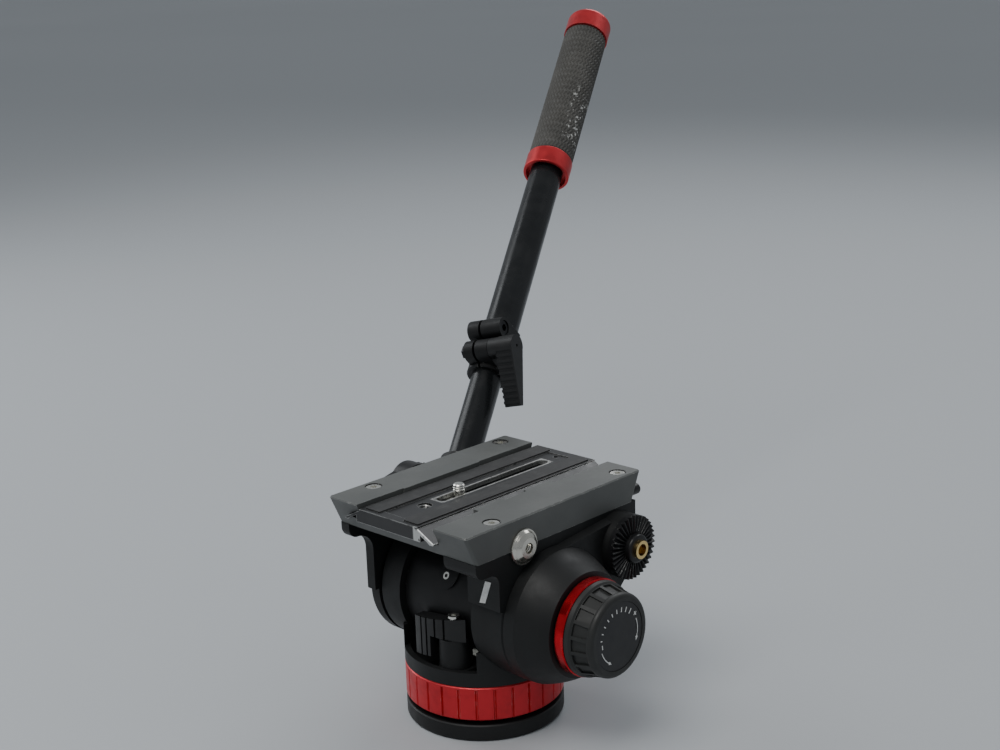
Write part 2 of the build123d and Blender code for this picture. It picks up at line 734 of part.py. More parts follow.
left_tip = plate_x - plate_tip_half - 0.5
button_x = 46.8
button_y0 = 67.0
button_z = 117.6
button_r = 3.2
with BuildPart() as platform:
    with BuildSketch(Plane.YZ.offset(-platform_w / 2)):
        Polygon((platform_front, platform_z1), (platform_front + platform_undercut, platform_z0),
                (platform_rear - platform_undercut, platform_z0), (platform_rear, platform_z1), align=None)
    extrude(amount=platform_w)
    fillet(platform.edges().filter_by(Axis.Z, reverse=True).filter_by(Axis.X, reverse=True)
           .filter_by(Axis.Y, reverse=True), 2.0)
    chamfer(platform.faces().sort_by(Axis.Z)[-1].edges(), 0.7)
    # channel between the rails, undercut on the left for the plate's dovetail
    with BuildSketch(Plane.XZ.offset(-platform_rear - 1)):
        Polygon((left_tip, channel_z), (rail_right_mid, channel_z), (rail_right_mid, platform_z1 + 1),
                (rail_left_mid, platform_z1 + 1),
                (rail_left_mid, flank_height(plate_x - rail_left_mid)),
                (left_tip, flank_height(plate_tip_half)), align=None)
        Polygon((rail_right_mid - 1, channel_z), (plate_x + plate_tip_half + 0.5, channel_z),
                (plate_x + plate_tip_half + 0.5, flank_height(plate_tip_half)),
                (rail_right_mid, flank_height(rail_right_mid - plate_x)),
                (rail_right_mid - 1, flank_height(rail_right_mid - plate_x)), align=None)
    extrude(amount=2 * platform_rear, mode=Mode.SUBTRACT)
    # outside the middle stretch the rails stand further apart
    with BuildSketch(Plane.XY.offset(channel_z)):
        for y_low, y_high in ((platform_front - 1, mid_y0), (mid_y1, platform_rear + 1)):
            with Locations(((rail_left_end + rail_right_end) / 2, (y_low + y_high) / 2)):
                Rectangle(rail_right_end - rail_left_end, y_high - y_low)
    extrude(amount=platform_z1 - channel_z, mode=Mode.SUBTRACT)
    # jaw pocket and the recess over the jaw's nose
    with BuildSketch(Plane.XY.offset(lock_z - 3.2)):
        with Locations(((rail_right_mid - 1 + jaw_out) / 2, (jaw_y0 + jaw_y1) / 2)):
            Rectangle(jaw_out - rail_right_mid + 1, jaw_y1 - jaw_y0)
    extrude(amount=jaw_pocket_z - lock_z + 3.2, mode=Mode.SUBTRACT)
    with BuildSketch(Plane.XY.offset(channel_z)):
        with Locations((rail_right_mid + 0.6, (jaw_y0 + jaw_y1) / 2)):
            Rectangle(3.2, jaw_y1 - jaw_y0)
    extrude(amount=platform_z1 - channel_z, mode=Mode.SUBTRACT)
    # underside pockets, with a rib left for the lock shaft and a seat for the drum's neck
    with BuildSketch(Plane.XY.offset(platform_z0)):
        for y_low, y_high in ((-46.0, lock_y - 5.5), (lock_y + 5.5, 58.0)):
            with Locations((0, (y_low + y_high) / 2)):
                Rectangle(52.0, y_high - y_low)
        with Locations((0, (neck_y0 + neck_y1) / 2)):
            Rectangle(2 * neck_half_x, neck_y1 - neck_y0)
    extrude(amount=pocket_z - platform_z0, mode=Mode.SUBTRACT)
    with BuildSketch(Plane(origin=(-platform_w / 2, lock_y, lock_z), x_dir=(0, 1, 0), z_dir=(1, 0, 0))):
        Circle(lock_shaft_r + 0.3)
    extrude(amount=platform_w / 2 + jaw_out, mode=Mode.SUBTRACT)
    with BuildSketch(Plane(origin=(platform_w / 2 - 7.5, link_y, link_z), x_dir=(0, 1, 0), z_dir=(1, 0, 0))):
        Circle(link_shank_r)
    extrude(amount=7.5, mode=Mode.SUBTRACT)
    with BuildSketch(Plane(origin=(button_x, button_y0, button_z), x_dir=(1, 0, 0), z_dir=(0, 1, 0))):
        Circle(button_r + fit)
    extrude(amount=12.0, mode=Mode.SUBTRACT)
    # four countersunk screws into the side housings
    with Locations(*[(x, y, platform_z1) for x in (-screw_x, screw_x) for y in screw_ys]):
        CounterBoreHole(1.9, 4.6, 1.6, depth=platform_z1 - platform_z0)
save(platform, "platform")

with BuildPart() as platform_screws:
    with Locations(*[(x, y, 0) for x in (-screw_x, screw_x) for y in screw_ys]):
        with Locations((0, 0, platform_z1 - 1.6)):
            Cylinder(4.2, 1.2, align=UP)
            Cylinder(1.85, 17.5, align=DOWN)
    with BuildSketch(Plane.XY.offset(platform_z1 - 1.4)):
        with Locations(*[(x, y) for x in (-screw_x, screw_x) for y in screw_ys]):
            RegularPolygon(2.0, 6)
    extrude(amount=2.0, mode=Mode.SUBTRACT)
save(platform_screws, "platform_screws")

with BuildPart(axis_plane(side_in, link_y, link_z)) as accessory_bushing:
    Cylinder(link_shank_r - 0.05, platform_w / 2 - side_in, align=UP)
    with Locations((0, 0, platform_w / 2 - side_in)):
        Cylinder(9.6, 1.2, align=UP)
    with Locations((0, 0, platform_w / 2 - side_in + 1.2)):
        Cone(8.9, 7.9, 1.4, align=UP)
    with Locations((0, 0, platform_w / 2 - side_in + 2.6)):
        Cone(7.9, 5.4, 1.8, align=UP)
    Cylinder(small_thread_r, 14.0, align=UP, mode=Mode.SUBTRACT)
save(accessory_bushing, "accessory_bushing")

# ---------------------------------------------------------------- rosettes and their inserts
with BuildPart() as tooth_groove:
    inner_r = rosette_hub_r - 0.6
    outer_r = rosette_r + 0.8
    half_pitch = pi / tooth_count
    for groove_r in (inner_r, outer_r):
        with BuildSketch(Plane(origin=(groove_r, 0, 0), x_dir=(0, 1, 0), z_dir=(1, 0, 0))):
            Polygon((-0.86 * groove_r * half_pitch, 0.1), (0.86 * groove_r * half_pitch, 0.1),
                    (0, -tooth_depth * (0.55 + 0.45 * groove_r / outer_r)), align=None)
    loft()


def cut_teeth(face_height):
    """Cut the radial teeth into the face that lies at this height over the current plane."""
    with Locations((0, 0, face_height)):
        with PolarLocations(0, tooth_count):
            add(tooth_groove.part, mode=Mode.SUBTRACT)


insert_neck_r = 5.1
for side_name, side in (("right", 1), ("left", -1)):
    seat_x = side * (boss_out if side > 0 else side_out + 6.0)
    rosette_h = rosette_x - abs(seat_x)
    with BuildPart(axis_plane(seat_x, rosette_y, rosette_z, side)) as rosette:
        Cylinder(rosette_r, rosette_h, align=UP)
        cut_teeth(rosette_h)
        if side > 0:
            Cylinder(rosette_hub_r, rosette_h + 3.6, align=UP)
            fillet(rosette.edges().filter_by(GeomType.CIRCLE).sort_by(Axis.X)[-1], 1.6)
        Cylinder(insert_neck_r, 20.0, mode=Mode.SUBTRACT)
    save(rosette, f"{side_name}_rosette")

    insert_end = rosette_h + (5.6 if side > 0 else -1.6)
    with BuildPart(axis_plane(seat_x, rosette_y, rosette_z, side)) as insert:
        with Locations((0, 0, -6.0)):
            Cylinder(7.0, 6.0, align=UP)
        Cylinder(insert_neck_r, insert_end, align=UP)
        Cylinder(3.3, 40.0, mode=Mode.SUBTRACT)
    save(insert, f"{side_name}_rosette_insert")

# ---------------------------------------------------------------- tilt-drag knob
knob_hub_x = 82.2
scallop_count = 18
flute_depth = 1.3
flute_x0 = 86.3
flute_x1 = 95.0
flute_r0 = 24.4
flute_r1 = 22.7
flute_w0 = 6.6
flute_w1 = 5.6
# one flute, standing on the tilt axis: x is radial, z is along the axis
with BuildPart() as knob_flute:
    for flute_x, flute_r, flute_w in ((flute_x0, flute_r0, flute_w0), (flute_x1, flute_r1, flute_w1)):
        with BuildSketch(Plane.XY.offset(flute_x)):
            with Locations((flute_r - flute_depth + 2, 0)):
                Rectangle(4, flute_w)
    loft()
with BuildPart() as tilt_drag_knob:
    with BuildSketch(Plane.XY.offset(tilt_z)):
        with BuildLine():
            Polyline((knob_hub_x, 0), (knob_hub_x, 25.2), (83.0, 25.8), (85.2, 25.4),
                     (86.0, 24.4), (95.2, 22.6))
            ThreePointArc((95.2, 22.6), (97.8, 21.8), (knob_x1, 19.8))
            Polyline((knob_x1, 19.8), (knob_x1, 18.5), (knob_x1 - 0.8, 18.5),
                     (knob_x1 - 0.8, 0), (knob_hub_x, 0))
        make_face()
    revolve(axis=Axis(origin=(0, 0, tilt_z), direction=(1, 0, 0)))
    with Locations(Plane(origin=(0, 0, tilt_z), x_dir=(0, 1, 0), z_dir=(1, 0, 0))):
        with PolarLocations(0, scallop_count):
            add(knob_flute.part, mode=Mode.SUBTRACT)
    with BuildSketch(tilt_plane(knob_hub_x)):
        Circle(5.0 + fit)
    extrude(amount=shaft_x1 + 0.3 - knob_hub_x, mode=Mode.SUBTRACT)
save(tilt_drag_knob, "tilt_drag_knob")

with BuildPart() as knob_ring:
    with BuildSketch(tilt_plane(knob_x0)):
        Circle(26.3)
        Circle(9.0, mode=Mode.SUBTRACT)
    extrude(amount=knob_hub_x - knob_x0)
    chamfer(knob_ring.edges().filter_by(GeomType.CIRCLE).sort_by(SortBy.RADIUS)[-2:], 0.6)
save(knob_ring, "knob_ring")

with BuildPart() as knob_label:
    with BuildSketch(tilt_plane(knob_x1 - 0.8)):
        Circle(18.3)
    extrude(amount=0.5)
save(knob_label, "knob_label")

# ---------------------------------------------------------------- camera plate
slot_half = 3.45
slot_y0 = -24.5
slot_y1 = 61.5
hole_y = -34.2
screw_y = -8.5
groove_half_w = 8.8
strip_x = 14.6
strip_w = 11.2
strip_l = plate_l - 5.6
head_slot_half = 8.4
head_slot_z = plate_z0 + 4.4

with BuildPart() as camera_plate:
    with BuildSketch(Plane.XZ.offset(-plate_front - plate_l)):
        Polygon((plate_x - plate_tip_half, plate_z0), (plate_x + plate_tip_half, plate_z0),
                (plate_x + plate_tip_half, flank_z0), (plate_x + plate_top_half, flank_z1),
                (plate_x + plate_top_half, plate_z1), (plate_x - plate_top_half, plate_z1),
                (plate_x - plate_top_half, flank_z1), (plate_x - plate_tip_half, flank_z0), align=None)
    extrude(amount=plate_l)
    # shallow groove along the middle and two seats for the rubber strips
    with BuildSketch(Plane.XY.offset(plate_z1)):
        with Locations((plate_x, plate_front + plate_l / 2)):
            Rectangle(2 * groove_half_w, plate_l - 12)
        with Locations((plate_x - strip_x, plate_front + plate_l / 2),
                (plate_x + strip_x, plate_front + plate_l / 2)):
            RectangleRounded(strip_w, strip_l, 1.0)
    extrude(amount=-0.6, mode=Mode.SUBTRACT)
    with BuildSketch(Plane.XY.offset(plate_z0)):
        with Locations((plate_x, (slot_y0 + slot_y1) / 2)):
            SlotOverall(slot_y1 - slot_y0, 2 * slot_half, rotation=90)
        with Locations((plate_x, hole_y)):
            Circle(thread_r)
        with Locations((plate_x, 70.0)):
            Circle(1.6)
    extrude(amount=plate_z1 - plate_z0, mode=Mode.SUBTRACT)
    with BuildSketch(Plane.XY.offset(plate_z0)):
        with Locations((plate_x, (slot_y0 + slot_y1) / 2)):
            SlotOverall(slot_y1 - slot_y0 + 11, 2 * head_slot_half, rotation=90)
    extrude(amount=head_slot_z - plate_z0, mode=Mode.SUBTRACT)
    # hollow under each dovetail flank, as the die-cast plate has
    with BuildSketch(Plane.XZ.offset(-plate_front - plate_l + 4)):
        for flip in (-1, 1):
            Polygon((plate_x + flip * (plate_top_half + 2.4), plate_z0),
                    (plate_x + flip * (plate_tip_half - 2.4), plate_z0),
                    (plate_x + flip * (plate_tip_half - 4.4), plate_z0 + 1.4),
                    (plate_x + flip * (plate_top_half + 2.4), plate_z0 + 3.6), align=None)
    extrude(amount=plate_l - 4, mode=Mode.SUBTRACT)
save(camera_plate, "camera_plate")

with BuildPart() as plate_pads:
    with BuildSketch(Plane.XY.offset(plate_z1 - 0.6)):
        with Locations((plate_x - strip_x, plate_front + plate_l / 2),
                (plate_x + strip_x, plate_front + plate_l / 2)):
            RectangleRounded(strip_w - 0.1, strip_l - 0.1, 0.95)
    extrude(amount=1.2)
save(plate_pads, "plate_pads")

camera_screw_r = 3.15
screw_neck_r = 2.8
screw_top = 132.4
thread_z0 = plate_z1 + 0.1
with BuildPart() as screw_collar:
    with BuildSketch(Plane.XY.offset(plate_z0 + 3.4)):
        with Locations((plate_x, screw_y)):
            Circle(8.0)
            Circle(screw_neck_r + 0.1, mode=Mode.SUBTRACT)
    extrude(amount=0.8)
save(screw_collar, "screw_collar")

with BuildPart() as camera_screw:
    with BuildSketch(Plane.XY.offset(plate_z0 + 0.3)):
        with Locations((plate_x, screw_y)):
            Circle(7.2)
    extrude(amount=2.9)
    with BuildSketch(Plane.XY.offset(plate_z0 + 0.3)):
        with Locations((plate_x, screw_y)):
            Rectangle(11.0, 1.4)
    extrude(amount=1.2, mode=Mode.SUBTRACT)
    with BuildSketch(Plane.XY.offset(plate_z0 + 3.2)):
        with Locations((plate_x, screw_y)):
            Circle(screw_neck_r)
    extrude(amount=thread_z0 - plate_z0 - 3.2)
    with BuildSketch(Plane.XY.offset(thread_z0)):
        with Locations((plate_x, screw_y)):
            Circle(camera_screw_r)
    extrude(amount=screw_top - thread_z0)
    chamfer(camera_screw.edges().filter_by(GeomType.CIRCLE).sort_by(Axis.Z)[-1], 0.6)
save(camera_screw, "camera_screw")

# ---------------------------------------------------------------- plate lock
jaw_nose = 25.6
jaw_gap = 0.3
with BuildPart() as plate_jaw:
    with BuildSketch(Plane.XZ.offset(-jaw_y1 + jaw_gap)):
        Polygon((jaw_nose, jaw_pocket_z - jaw_gap), (jaw_nose, flank_height(jaw_nose - plate_x) + 0.1),
                (plate_x + plate_tip_half + 0.4, flank_height(plate_tip_half) + 0.1),
                (plate_x + plate_tip_half + 0.4, lock_z - 2.9),
                (jaw_out - 2.6, lock_z - 2.9), (jaw_out - 2.6, jaw_pocket_z - jaw_gap), align=None)
    extrude(amount=jaw_y1 - jaw_y0 - 2 * jaw_gap)
    with BuildSketch(Plane(origin=(20, lock_y, lock_z), x_dir=(0, 1, 0), z_dir=(1, 0, 0))):
        Circle(lock_shaft_r + fit)
    extrude(amount=20, mode=Mode.SUBTRACT)
save(plate_jaw, "plate_jaw")

lock_lever_x = -52.4
lock_lever_w = 11.6
lock_hub_r = 11.8
lock_hub_z = 118.4
with BuildPart() as plate_lock_lever:
    with BuildSketch(Plane(origin=(lock_lever_x - lock_lever_w, lock_y, lock_z),
            x_dir=(0, 1, 0), z_dir=(1, 0, 0))):
        with Locations((0, lock_hub_z - lock_z)):
            Circle(lock_hub_r)
        with BuildLine():
            Polyline((2.0, 12.0), (-40.0, 3.0), (-44.0, -1.0), (-43.0, -6.0), (4.0, -9.0), (2.0, 12.0))
        make_face()
    extrude(amount=lock_lever_w)
    fillet(plate_lock_lever.faces().sort_by(Axis.X)[0].edges(), 1.5)
    with BuildSketch(Plane(origin=(lock_lever_x - 8.0, lock_y, lock_z), x_dir=(0, 1, 0), z_dir=(1, 0, 0))):
        Circle(lock_shaft_r)
    extrude(amount=8.0, mode=Mode.SUBTRACT)
save(plate_lock_lever, "plate_lock_lever")

with BuildPart() as plate_lock_shaft:
    with BuildSketch(Plane(origin=(lock_lever_x - 8.0, lock_y, lock_z), x_dir=(0, 1, 0), z_dir=(1, 0, 0))):
        Circle(lock_shaft_r)
    extrude(amount=jaw_out - 0.8 - lock_lever_x + 8.0)
save(plate_lock_shaft, "plate_lock_shaft")

# sprung release button of the plate's safety catch, at the rear of the right rail
button_rest = 70.2
with BuildPart() as plate_release_button:
    with BuildSketch(Plane(origin=(button_x, button_rest, button_z), x_dir=(1, 0, 0), z_dir=(0, 1, 0))):
        Circle(button_r)
    extrude(amount=8.0)
    fillet(plate_release_button.edges().sort_by(Axis.Y)[-1], 0.8)
    with BuildSketch(Plane(origin=(button_x, button_rest, button_z), x_dir=(1, 0, 0), z_dir=(0, 1, 0))):
        Circle(2.3)
    extrude(amount=5.6, mode=Mode.SUBTRACT)
save(plate_release_button, "plate_release_button")

spring_wire = 0.3
spring_step = 1.5
with BuildPart() as release_spring:
    with BuildLine() as spring_path:
        Helix(pitch=spring_step, height=7.8, radius=1.8, center=(button_x, button_y0 + 0.4, button_z),
              direction=(0, 1, 0))
    with BuildSketch(Plane(origin=spring_path.line @ 0, z_dir=spring_path.line % 0)):
        Circle(spring_wire)
    sweep(is_frenet=True)
save(release_spring, "release_spring")

# ---------------------------------------------------------------- tilt lock lever, left side
tilt_lever_x = -side_out - 0.4
with BuildPart() as tilt_lock_lever:
    with BuildSketch(tilt_plane(tilt_lever_x - 9.0)):
        Circle(13.0)
    extrude(amount=9.0)
    with BuildSketch(tilt_plane(tilt_lever_x - 9.0)):
        with BuildLine():
            Polyline((8.0, 10.2), (33.0, -18.0), (25.0, -25.0), (-5.0, -12.0), (8.0, 10.2))
        make_face()
    extrude(amount=5.5)
    fillet(tilt_lock_lever.edges().filter_by(Axis.X).filter_by(lambda e: e.center().Y > 20), 3.0)
    chamfer(tilt_lock_lever.faces().sort_by(Axis.X)[0].edges(), 0.8)
    with BuildSketch(tilt_plane(tilt_lever_x - 6.0)):
        Circle(3.0 + fit)
    extrude(amount=6.0, mode=Mode.SUBTRACT)
save(tilt_lock_lever, "tilt_lock_lever")

with BuildPart() as tilt_lock_screw:
    with BuildSketch(tilt_plane(tilt_lever_x - 6.0)):
        Circle(3.0)
    extrude(amount=shaft_x0 - 0.1 - tilt_lever_x + 6.0)
save(tilt_lock_screw, "tilt_lock_screw")

# ---------------------------------------------------------------- pan bar
bar_dir = Vector(-sin(radians(bar_splay)), cos(radians(bar_splay)) * cos(radians(bar_rise)),
                 cos(radians(bar_splay)) * sin(radians(bar_rise)))
bolt_dir = Vector(cos(radians(bar_splay)), sin(radians(bar_splay)) * cos(radians(bar_rise)),
                  sin(radians(bar_splay)) * sin(radians(bar_rise)))
ear_dir = Vector(0, -sin(radians(bar_rise)), cos(radians(bar_rise)))
bar_foot = Vector(bar_x, rosette_y, rosette_z)
socket_r = 13.5
socket_s0 = 10.0
socket_s1 = 22.0
clamp_face_x = -rosette_x - 0.4
clamp_back_x = -92.0
clamp_screw_r = 3.0


def bar_plane(s, along=0.0, ear=0.0):
    """Plane square to the pan bar at distance s up the bar; x runs along the collar's bolts."""
    return Plane(origin=bar_foot + bar_dir * s + bolt_dir * along + ear_dir * ear,
            x_dir=bolt_dir, z_dir=bar_dir)


def bolt_plane(s, along, ear):
    """Plane square to the collar's bolts."""
    return Plane(origin=bar_foot + bar_dir * s + bolt_dir * along + ear_dir * ear,
            x_dir=bar_dir, z_dir=bolt_dir)


with BuildPart() as clamp_blank:
    with BuildSketch(axis_plane(clamp_face_x, rosette_y, rosette_z, -1)):
        Circle(rosette_r)
    extrude(amount=5.6)
    with BuildSketch(axis_plane(clamp_face_x - 5.6, rosette_y, rosette_z, -1)):
        Circle(13.2)
    extrude(amount=clamp_face_x - 5.6 - clamp_back_x)
    with BuildSketch(bar_plane(0)):
        Circle(socket_r)
    extrude(amount=socket_s1)
    with BuildSketch(axis_plane(clamp_face_x, rosette_y, rosette_z)):
        Circle(3 * rosette_r)
    extrude(amount=20.0, mode=Mode.SUBTRACT)
    fillet(clamp_blank.edges().filter_by(GeomType.CIRCLE).filter_by(
        lambda e: abs(e.center().X - clamp_back_x) < 0.1), 1.2)

with BuildPart(axis_plane(clamp_face_x, rosette_y, rosette_z)) as clamp_teeth:
    cut_tool = tooth_groove.part
    with PolarLocations(0, tooth_count):
        add(cut_tool)

with BuildPart() as pan_bar_clamp:
    add(clamp_blank.part)
    add(clamp_teeth.part, mode=Mode.SUBTRACT)
    with BuildSketch(bar_plane(socket_s0)):
        Circle(inner_tube_r)
    extrude(amount=socket_s1, mode=Mode.SUBTRACT)
    with BuildSketch(axis_plane(clamp_face_x, rosette_y, rosette_z, -1)):
        Circle(clamp_screw_r + fit)
    extrude(amount=40, mode=Mode.SUBTRACT)
save(pan_bar_clamp, "pan_bar_clamp")

with BuildPart() as pan_bar_clamp_screw:
    with BuildSketch(axis_plane(-60.0, rosette_y, rosette_z, -1)):
        Circle(clamp_screw_r)
    extrude(amount=40.0)
save(pan_bar_clamp_screw, "pan_bar_clamp_screw")

with BuildPart() as pan_bar_knob:
    with BuildSketch(axis_plane(clamp_back_x - 0.3, rosette_y, rosette_z, -1)):
        Circle(8.0)
    extrude(amount=3.0)
    with BuildSketch(axis_plane(clamp_back_x - 3.0, rosette_y, rosette_z, -1)):
        Circle(13.5)
        with PolarLocations(14.6, 10):
            Circle(2.6, mode=Mode.SUBTRACT)
    extrude(amount=12.0)
    chamfer(pan_bar_knob.faces().sort_by(Axis.X)[0].edges(), 0.8)
    with BuildSketch(axis_plane(clamp_back_x, rosette_y, rosette_z, -1)):
        Circle(clamp_screw_r)
    extrude(amount=8.0, mode=Mode.SUBTRACT)
save(pan_bar_knob, "pan_bar_knob")

inner_tube_s1 = 235.0
with BuildPart() as pan_bar_inner_tube:
    with BuildSketch(bar_plane(socket_s0)):
        Circle(inner_tube_r)
        Circle(inner_tube_r - tube_wall, mode=Mode.SUBTRACT)
    extrude(amount=inner_tube_s1 - socket_s0)
save(pan_bar_inner_tube, "pan_bar_inner_tube")

# telescoping half of the bar, clamped by the split collar
collar_s0 = 86.0
collar_s1 = 118.0
collar_r = 13.2
tube_seat_s = 102.0
outer_tube_s1 = 405.0
ear_out = 17.0
ear_r = 6.7
upper_ear_s = 111.0
lower_ear_s = 95.0
bolt_r = 2.5
screw_head_r = 4.3
screw_head_h = 4.0
upper_ear_x0 = -7.6
upper_ear_x1 = 16.4
lower_ear_x0 = -6.0
lower_ear_x1 = 11.3
slit_x = 1.4
slit_w = 1.6

with BuildPart() as bar_clamp_collar:
    with BuildSketch(bar_plane(collar_s0)):
        Circle(collar_r)
    extrude(amount=collar_s1 - collar_s0)
    chamfer(bar_clamp_collar.edges().filter_by(GeomType.CIRCLE), 0.8)
    for ear_s, ear_x0, ear_x1 in (
            (upper_ear_s, upper_ear_x0, upper_ear_x1), (lower_ear_s, lower_ear_x0, lower_ear_x1)):
        with BuildSketch(bolt_plane(ear_s, ear_x0, ear_out)):
            Circle(ear_r)
            with Locations((0, -ear_out / 2)):
                Rectangle(2 * ear_r, ear_out)
        extrude(amount=ear_x1 - ear_x0)
    with BuildSketch(bar_plane(collar_s0)):
        Circle(inner_tube_r + fit)
    extrude(amount=collar_s1 - collar_s0, mode=Mode.SUBTRACT)
    with BuildSketch(bar_plane(tube_seat_s)):
        Circle(outer_tube_r)
    extrude(amount=collar_s1 - tube_seat_s, mode=Mode.SUBTRACT)
    with BuildSketch(bar_plane(collar_s0, slit_x, 20.0)):
        Rectangle(slit_w, 22.0)
    extrude(amount=collar_s1 - collar_s0, mode=Mode.SUBTRACT)
    for ear_s in (upper_ear_s, lower_ear_s):
        with BuildSketch(bolt_plane(ear_s, -14.0, ear_out)):
            Circle(bolt_r + fit)
        extrude(amount=32.0, mode=Mode.SUBTRACT)
    with BuildSketch(bolt_plane(upper_ear_s, upper_ear_x1, ear_out)):
        Circle(screw_head_r + 0.3)
    extrude(amount=-screw_head_h, mode=Mode.SUBTRACT)
save(bar_clamp_collar, "bar_clamp_collar")

with BuildPart() as collar_screw:
    with BuildSketch(bolt_plane(upper_ear_s, upper_ear_x0 - 0.4, ear_out)):
        Circle(bolt_r)
    extrude(amount=upper_ear_x1 - upper_ear_x0 + 0.4 - screw_head_h)
    with BuildSketch(bolt_plane(upper_ear_s, upper_ear_x1 - 0.6, ear_out)):
        Circle(screw_head_r)
        RegularPolygon(2.4, 6, mode=Mode.SUBTRACT)
    extrude(amount=0.6 - screw_head_h)
save(collar_screw, "collar_screw")

with BuildPart() as pan_bar_outer_tube:
    with BuildSketch(bar_plane(tube_seat_s)):
        Circle(outer_tube_r)
        Circle(inner_tube_r + gap, mode=Mode.SUBTRACT)
    extrude(amount=outer_tube_s1 - tube_seat_s)
save(pan_bar_outer_tube, "pan_bar_outer_tube")

# wing: a drop-shaped outline square to its bolt, with grip ribs along one long side
wing_dir = (bar_dir * -0.77 + ear_dir * -0.64).normalized()
wing_face_dir = wing_dir.cross(bolt_dir).normalized()
wing_x0 = 17.6
wing_x1 = 29.4
wing_r = 7.0
wing_l = 37.0
rib_pitch = 3.7


def wing_plane(along):
    """Plane square to the wing's bolt: x out of the ribbed face, y towards the wing's tip."""
    return Plane(origin=bar_foot + bar_dir * lower_ear_s + ear_dir * ear_out + bolt_dir * along,
                 x_dir=wing_face_dir, z_dir=wing_face_dir.cross(wing_dir))


wing_sign = 1 if wing_face_dir.cross(wing_dir).dot(bolt_dir) > 0 else -1
with BuildPart() as wing_lever:
    with BuildSketch(wing_plane(wing_x0)):
        Circle(wing_r)
        Polygon((wing_r, 0), (wing_r - 2.2, wing_l), (wing_r - 5.2, wing_l + 0.4), (-wing_r, 0), align=None)
    extrude(amount=wing_sign * (wing_x1 - wing_x0))
    fillet(wing_lever.edges().filter_by(Axis(bar_foot, bolt_dir)).sort_by(Axis(bar_foot, wing_dir))[-2:], 1.2)
    with BuildSketch(wing_plane(wing_x0)):
        for rib in range(10):
            with Locations((wing_r - 0.06 * rib_pitch * rib, 3.0 + rib_pitch * rib)):
                Rectangle(2.2, 2.0, rotation=3)
    extrude(amount=wing_sign * (wing_x1 - wing_x0 - 0.9), mode=Mode.SUBTRACT)
    with BuildSketch(bolt_plane(lower_ear_s, lower_ear_x1 + gap, ear_out)):
        Circle(ear_r)
    extrude(amount=wing_x0 - lower_ear_x1 - gap)
    with BuildSketch(bolt_plane(lower_ear_s, wing_x1, ear_out)):
        Circle(0.9)
    extrude(amount=-0.8, mode=Mode.SUBTRACT)
    with BuildSketch(bolt_plane(lower_ear_s, lower_ear_x1, ear_out)):
        Circle(bolt_r)
    extrude(amount=8.0, mode=Mode.SUBTRACT)
save(wing_lever, "wing_lever")

with BuildPart() as wing_lever_bolt:
    with BuildSketch(bolt_plane(lower_ear_s, lower_ear_x0 - 3.0, ear_out)):
        Circle(bolt_r)
    extrude(amount=lower_ear_x1 + 8.0 - lower_ear_x0 + 3.0)
    with BuildSketch(bolt_plane(lower_ear_s, lower_ear_x0 - 3.0, ear_out)):
        RegularPolygon(4.4, 6)
    extrude(amount=3.0)
save(wing_lever_bolt, "wing_lever_bolt")

ring_s0 = 258.0
ring_s1 = 271.8
grip_s0 = 272.0
grip_s1 = 393.0
cap_s1 = 410.0
grip_r = 15.4
cap_r = 16.0
with BuildPart() as grip_ring:
    with BuildSketch(bar_plane(ring_s0)):
        Circle(15.9)
        Circle(outer_tube_r, mode=Mode.SUBTRACT)
    extrude(amount=ring_s1 - ring_s0)
    fillet(grip_ring.edges().filter_by(GeomType.CIRCLE).sort_by(SortBy.RADIUS)[-2:], 0.8)
    with BuildSketch(bar_plane(ring_s0)):
        Circle(14.0)
        Circle(outer_tube_r, mode=Mode.SUBTRACT)
    extrude(amount=4.0, mode=Mode.SUBTRACT)
save(grip_ring, "grip_ring")

with BuildPart() as pan_bar_grip:
    with BuildSketch(bar_plane(grip_s0)):
        Circle(grip_r)
        Circle(outer_tube_r, mode=Mode.SUBTRACT)
    extrude(amount=grip_s1 - grip_s0)
    fillet(pan_bar_grip.edges().filter_by(GeomType.CIRCLE).sort_by(SortBy.RADIUS)[-2:], 1.0)
save(pan_bar_grip, "pan_bar_grip")

with BuildPart() as grip_cap:
    with BuildSketch(bar_plane(grip_s1)):
        Circle(cap_r)
    extrude(amount=cap_s1 - grip_s1)
    fillet(grip_cap.edges().filter_by(GeomType.CIRCLE).sort_by(Axis.Z)[-1], 4.0)
    with BuildSketch(bar_plane(grip_s1)):
        Circle(outer_tube_r)
    extrude(amount=outer_tube_s1 - grip_s1, mode=Mode.SUBTRACT)
save(grip_cap, "grip_cap")
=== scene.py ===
"""Fluid video head with pan bar: looks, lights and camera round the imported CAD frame."""
import math

import bmesh
import bpy
from mathutils import Matrix, Vector


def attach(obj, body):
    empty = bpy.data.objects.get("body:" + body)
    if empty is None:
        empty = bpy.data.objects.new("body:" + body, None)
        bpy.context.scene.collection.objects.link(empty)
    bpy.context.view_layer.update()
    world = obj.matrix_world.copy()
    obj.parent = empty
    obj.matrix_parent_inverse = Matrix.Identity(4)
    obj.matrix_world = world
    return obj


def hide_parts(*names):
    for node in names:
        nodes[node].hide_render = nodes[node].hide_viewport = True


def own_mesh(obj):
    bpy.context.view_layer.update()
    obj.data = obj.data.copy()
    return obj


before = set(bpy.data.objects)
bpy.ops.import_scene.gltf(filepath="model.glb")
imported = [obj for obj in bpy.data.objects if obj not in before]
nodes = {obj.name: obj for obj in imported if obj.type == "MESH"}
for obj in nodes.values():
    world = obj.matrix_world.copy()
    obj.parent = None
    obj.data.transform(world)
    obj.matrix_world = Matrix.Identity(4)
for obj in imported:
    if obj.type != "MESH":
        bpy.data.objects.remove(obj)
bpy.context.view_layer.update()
MM = 0.001

